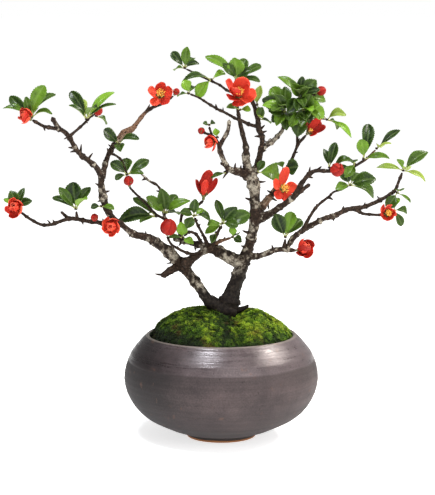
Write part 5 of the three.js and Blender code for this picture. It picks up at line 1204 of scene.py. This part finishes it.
def add_leaf(shape, root, tip, face, width, arch, seed, tone, blade):
    """One leaf on its stalk, finely toothed and folded along its rib, as a closed blade."""
    length = np.linalg.norm(tip - root)
    along = unit(tip - root)
    up = square_to(face, along)
    side = np.cross(along, up)
    stalk = 0.12 + 0.03 * scatter(seed, 1)
    fold = 0.3 + 0.6 * scatter(seed, 2)
    twist = 0.5 * spread(seed, 3)
    curl = (0.03 + 0.13 * scatter(seed, 4)) * length
    sway = 0.05 * spread(seed, 6) * length
    roundness = scatter(seed, 7)
    widest = max(leaf_width(share, roundness) for share in np.linspace(0, 1, 41))

    def middle(share):
        rise = 4 * arch * length * share * (1 - share) - curl * (max(0.0, share - 0.45) / 0.55) ** 2
        drift = sway * 4 * share * (1 - share)
        return root + along * share * length + up * rise + side * drift

    top, veins, edges = [], [], []
    for row in range(LEAF_ROWS):
        share = row / (LEAF_ROWS - 1)
        toothed = 0.15 < share < 0.97
        tooth = 1 + (0.075 if row % 2 else -0.04) * toothed
        half = 0.5 * width * leaf_width(max(share, 0.012), roundness) / widest
        half = max(0.06, half)
        across, lifted = turned(twist * (share - 0.3), side, up), turned(twist * (share - 0.3), up, -side)
        centre = middle(stalk + (1 - stalk) * share)
        for lane in LEAF_LANES:
            outer = abs(lane)
            reach = half * lane * (tooth if outer == 1.0 else 1.0)
            vein = abs(math.sin(math.pi * (share * VEINS - outer * 1.5)))
            quilt = 0.09 * (1 - vein ** 4) * outer * (1 - outer * 0.5) * min(1.0, half / 2)
            lift = fold * half * (outer ** 1.2 - 0.35 * outer ** 3) + quilt
            wave = 0.05 * width * math.sin(8 * share + seed + lane) * outer ** 2
            point = centre + across * reach + lifted * (lift + wave)
            if outer == 1.0 and row % 2:
                point = point + along * 0.25 * toothed
            top.append(point)
            edges.append(outer ** 4)
            rib = math.exp(-((outer / 0.07) ** 2))
            veins.append(max(rib, 0.6 * (1 - vein) ** 3 if 0.1 < outer < 0.95 else 0.0))
    looks = {"tone": tone, "vein": veins, "edge": edges}
    sheet_blade(shape, top, LEAF_THICK, LEAF_ROWS, len(LEAF_LANES), blade, **looks)
    petiole = [middle(share) - up * LEAF_THICK * 0.5 for share in np.linspace(0.0, stalk + 0.05, 6)]
    tube(shape, petiole, np.linspace(0.6, 0.36, 6), 7, slot=2)
    rib = [middle(share) - up * (LEAF_THICK + 0.05) for share in np.linspace(stalk, 0.86, 9)]
    tube(shape, rib, np.linspace(0.32, 0.1, 9), 5, slot=2)


def make_spray(name, heart, *leaves):
    """The leaves of a spur, round its winter buds."""
    shape = Shape()
    centre = seen(*heart)
    seed = seed_of(name)
    young = YOUNG_LEAVES.get(name, ())
    tones = LEAF_TONES.get(name, ())
    for i, (x, z, depth, width, turn, *arch) in enumerate(leaves):
        tip = seen(x, z, depth)
        angle = math.radians(turn)
        face = np.array([0.0, -math.sin(angle), math.cos(angle)])
        tone = tones[i] if i < len(tones) else 0.85 * scatter(seed, i) ** 1.4
        rise = arch[0] if arch else LEAF_ARCH
        start = centre + unit(tip - centre) * 0.7
        add_leaf(shape, start, tip, face, width * LEAF_WIDEN, rise, seed + i, tone, int(i in young))
    for i in range(SPRAY_BUDS):
        turn = math.tau * (i + scatter(seed, i)) / SPRAY_BUDS
        outward = unit(np.array([math.cos(turn), math.sin(turn), 0.7 * spread(i, seed)]))
        small_bud(shape, centre - outward * 0.3, outward, 1.9, 0.85, slot=3, age=0.05)
    return shape.build("spray_" + name, "leaf", "young_leaf", "stalk", "bark")


# Blooms
def petal_width(share):
    """Half the width of a petal along its length: a narrow claw and then nearly round."""
    claw, blade = 0.56, 0.44
    if share > claw:
        return math.sqrt(max(0.0, 1 - ((share - claw) / blade) ** 2.3))
    return 0.2 + 0.8 * math.sin(math.pi / 2 * share / claw) ** 1.15


def add_petal(shape, root, tip, face, width, bend, seed, tone, slot=0, thick=0.3, hollow=0.34):
    """One petal. Bend takes its middle away from its face, and hollow lifts its two edges."""
    length = np.linalg.norm(tip - root)
    along = unit(tip - root)
    up = square_to(face, along)
    side = np.cross(along, up)
    top, runs = [], []
    for row in range(PETAL_ROWS):
        share = 1 - (1 - row / (PETAL_ROWS - 1)) ** 1.25
        half = max(0.12, petal_width(share) * width * 0.53)
        sag = -4 * bend * length * share * (1 - share)
        lip = 0.08 * length * max(0.0, share - 0.75) * spread(seed, 5) * 4
        for lane in PETAL_LANES:
            rise = hollow * half * lane * lane * (0.35 + 0.65 * share)
            wave = math.sin(6.5 * lane + seed * 1.7 + 3 * share)
            ruffle = 0.055 * width * wave * share ** 2 * abs(lane) ** 1.5
            notch = 0.05 * length * math.exp(-((lane / 0.28) ** 2)) * (row == PETAL_ROWS - 1)
            point = root + along * (share * length - notch) + side * half * lane
            top.append(point + up * (sag + rise + ruffle + lip))
            runs.append(share)
    across = np.tile(PETAL_LANES, PETAL_ROWS)
    looks = {"run": runs, "across": across, "tone": tone}
    sheet_blade(shape, top, thick, PETAL_ROWS, len(PETAL_LANES), slot, **looks)


def add_calyx(shape, base, throat, low, high):
    """The green cup under a bloom, with five lobes that press against the petals."""
    along = unit(throat - base)
    length = np.linalg.norm(throat - base)
    shares = np.linspace(0, 1, 10)
    line = [base + along * length * share for share in shares]
    radii = low + (high - low) * (shares ** 1.6) + 0.18 * low * np.sin(np.pi * shares * 3)
    tube(shape, line, radii, 14, slot=1, round_end=False)
    side, other = sides_of([0.2, 0.1, 1.0], along)
    for lobe in range(CALYX_LOBES):
        out = turned(math.tau * (lobe + 0.5) / CALYX_LOBES, side, other)
        root = throat + out * high * 0.7 - along * 0.5
        tip = throat + out * (high + 1.3) + along * 1.5
        add_petal(shape, root, tip, along - out * 0.6, 2.3, -0.1, lobe, 0.5, slot=1, thick=0.35)


def add_stamens(shape, centre, axis, length, count, slot, lean):
    """Filaments that lean out from an axis. Their look is in a slot and the anthers' in the next one."""
    side, other = sides_of([0.0, 0.1, 1.0], axis)
    for i in range(count):
        share = math.sqrt((i + 0.5) / count)
        out = turned(i * STAMEN_TURN, side, other)
        tilt = lean * share * (0.85 + 0.3 * scatter(i, length))
        reach = length * (0.8 + 0.25 * scatter(i, 3))
        start = centre + out * 0.9 * share - axis * 1.2
        end = centre + turned(tilt, axis, out) * reach
        middle = (start + end) / 2 + axis * 0.06 * reach
        tube(shape, [start, middle, end], [0.2, 0.16, 0.14], 5, slot)
        small_bud(shape, end - axis * 0.3, unit(axis + 0.4 * out), 0.95, 0.5, slot + 1)


def make_bloom(name, data):
    """A bloom whose petals stand apart, or a half open one whose petals cup round an inner whorl."""
    shape = Shape()
    base, throat = seen(*data["base"]), seen(*data["throat"])
    axis = unit(throat - base)
    seed = seed_of(name)
    slot = 4 if name in DARK_BLOOMS else 0
    cupped = "bend" not in data
    wide, bend, hollow, twist = (1.08, 0.17, 0.5, 0.25) if cupped else (1.06, data["bend"], 0.34, 0.2)
    tips = [seen(*petal[:3]) for petal in data["petals"]]
    for i, tip in enumerate(tips):
        outward = square_to(tip - throat, axis)
        root = throat - axis * 0.7 + outward * 1.1
        face = axis + twist * np.cross(outward, axis)
        width = data["petals"][i][3] * wide
        add_petal(shape, root, tip, face, width, bend, seed + i, 0.9 * scatter(seed, i), slot, hollow=hollow)
    if cupped:
        reach = sum(np.linalg.norm(tip - throat) for tip in tips) / len(tips)
        side, other = sides_of([0.3, 0.2, 1.0], axis)
        outer = INNER_PETALS - 1
        for i in range(INNER_PETALS):
            lean = 0.1 + 0.15 * scatter(i, seed) if i < outer else -0.05
            outward = turned(math.tau * (i + 0.4 * scatter(seed, i + 20)) / outer, side, other)
            root = throat + outward * 0.8
            tip = throat + axis * reach * 0.86 + outward * reach * lean
            tone = 0.8 * scatter(i, 3)
            add_petal(shape, root, tip, axis - outward, reach * 0.85, 0.24, seed + 7 * i, tone, hollow=0.5)
    add_calyx(shape, base, throat, 1.1, 2.3)
    if not cupped and "tuft" not in data:
        add_stamens(shape, throat + axis * 0.6, axis, 3.6, TRUMPET_STAMENS, 2, 0.45)
    return shape.build("bloom_" + name + "_petals", "petal", "calyx", "filament", "anther", "closed_petal")


def make_tuft(name, data):
    shape = Shape()
    axis = unit(seen(*data["throat"]) - seen(*data["base"]))
    centre, length = data["tuft"]
    add_stamens(shape, seen(*centre), axis, length * 0.92, TUFT_STAMENS, 0, 0.62)
    return shape.build("stamens_" + name + "_tuft", "filament", "anther")


def make_bud(name, base, centre, radius):
    """Petals wrapped round each other in an egg, with one edge of each standing off the next."""
    shape = Shape()
    base, centre = seen(*base), seen(*centre)
    seed = seed_of(name)
    axis = unit(centre - base)
    side, other = sides_of([0.3, 1.0, 0.2], axis)
    shares = [row / (BUD_ROWS - 1) for row in range(BUD_ROWS)]
    lanes = PETAL_LANES[::-1]
    for layer in range(BUD_LAYERS):
        start = math.tau * layer / BUD_LAYERS + seed
        top = []
        for share in shares:
            tilt = math.pi * (0.95 - 0.93 * share)
            point_up = 0.98 + 0.08 * share ** 3
            for lane in lanes:
                out = turned(start + lane * 1.05 + 0.8 * share, side, other)
                reach = radius * (0.88 + 0.12 * ((lane + 1) / 2) ** 2 + 0.01 * layer)
                top.append(centre + reach * (math.sin(tilt) * out + point_up * math.cos(tilt) * axis))
        # Painted shade: each wrapped petal is darker at the edge that lies under the next one and lighter at
        # the edge that stands off it.
        tones = 0.5 * np.tile(np.linspace(1, 0, len(lanes)), BUD_ROWS) - 0.2 + 0.15 * scatter(layer, seed)
        runs = np.repeat([0.25 + 0.65 * share for share in shares], len(lanes))
        across = np.tile(PETAL_LANES, BUD_ROWS)
        looks = {"run": runs, "across": across, "tone": tones}
        sheet_blade(shape, top, 0.25, BUD_ROWS, len(lanes), 0, **looks)
    add_calyx(shape, base, centre - axis * radius * 0.45, 0.9, radius * 0.66)
    return shape.build("bud_" + name + "_petals", "closed_petal", "calyx")


# Assembly
def dress(piece, slot, *nodes):
    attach(piece, "root")
    if nodes:
        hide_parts(*nodes)


dress(make_pot(), "stoneware", "pot")
dress(make_moss_bed(), "moss", "moss")
dress(make_moss_shoots(), "moss")
dress(make_wood(), "bark", "wood")
for name, look in (("drain_screen", "screen"), ("soil", "soil")):
    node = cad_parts[name]
    node.data.materials.clear()
    node.data.materials.append(LOOKS[look])
for name, rows in SPRAYS.items():
    slot = "young_leaf" if name in YOUNG_LEAVES else "leaf"
    dress(make_spray(name, *rows), slot, "leaves_" + name)
for name, rows in SMALL_SPRAYS.items():
    dress(make_spray(name, *rows), "leaf")
for name, data in BLOOMS.items():
    dress(make_bloom(name, data), "petal", "bloom_" + name)
    if "tuft" in data:
        dress(make_tuft(name, data), "stamen", "stamens_" + name)
for name, data in BUDS.items():
    dress(make_bud(name, *data), "petal", "bud_" + name)
for name, data in TINY_BUDS.items():
    dress(make_bud(name, *data), "petal")


# Floor, lights and camera
def make_floor():
    mesh = bpy.data.meshes.new("floor")
    corners = [(x * FLOOR_HALF, y * FLOOR_HALF, 0) for x, y in ((-1, -1), (1, -1), (1, 1), (-1, 1))]
    mesh.from_pydata(corners, [], [(0, 1, 2, 3)])
    look = new_look("floor").finish(
        grey(0.9), 0.9, 0.1, None, Emission_Color=grey(1.0), Emission_Strength=0.68,
    )
    mesh.materials.append(look)
    floor = bpy.data.objects.new("floor", mesh)
    bpy.context.scene.collection.objects.link(floor)


def add_light(name, place, target, size, power, color=(1, 1, 1)):
    data = bpy.data.lights.new(name, "AREA")
    data.shape = "RECTANGLE"
    data.size, data.size_y = size
    data.energy = power
    data.color = color
    light = bpy.data.objects.new(name, data)
    light.location = place
    light.rotation_euler = (Vector(target) - Vector(place)).to_track_quat("-Z", "Y").to_euler()
    bpy.context.scene.collection.objects.link(light)


def make_studio():
    """A white world, dimmer to the left than to the right and bright from the horizon down."""
    studio = Graph(bpy.data.worlds.new("studio"))
    bpy.context.scene.world = studio.owner
    direction = studio.place("Generated")
    walls = studio.between(direction["X"], -1.0, 1.0, 0.2, 0.55)
    horizon = studio.between(direction["Z"], 0.02, 0.05, 1.0, 0.0)
    background = studio.nodes["Background"].inputs
    studio.feed(background["Strength"], studio.maths("MAXIMUM", walls, horizon))
    studio.feed(background["Color"], (1, 1, 1))
    bpy.context.scene.view_settings.view_transform = "Standard"


def make_camera():
    data = bpy.data.cameras.new("camera")
    data.lens = VIEW_FOCUS * data.sensor_width / max(PHOTO_SIZE)
    data.clip_start = 0.05
    data.clip_end = 300
    camera = bpy.data.objects.new("camera", data)
    bpy.context.scene.collection.objects.link(camera)
    place = Vector((VIEW_SIDE + SHIFT_SIDE, -VIEW_DISTANCE, VIEW_HEIGHT + SHIFT_UP)) * MM
    turn = Matrix.Rotation(math.radians(90 - VIEW_PITCH), 4, "X")
    camera.matrix_world = Matrix.Translation(place) @ turn
    bpy.context.scene.camera = camera


make_floor()
make_studio()
add_light("sky", (-0.33, -0.47, 1.45), (0, 0, 0.16), (0.26, 0.26), 17, (0.9, 0.94, 1.0))
add_light("warm", (1.0, 0.16, 1.2), (0, 0, 0.14), (0.6, 0.3), 22, (1.0, 0.95, 0.88))
add_light("front", (0.55, -1.3, 0.75), (0, 0, 0.14), (1.8, 1.2), 10)
make_camera()
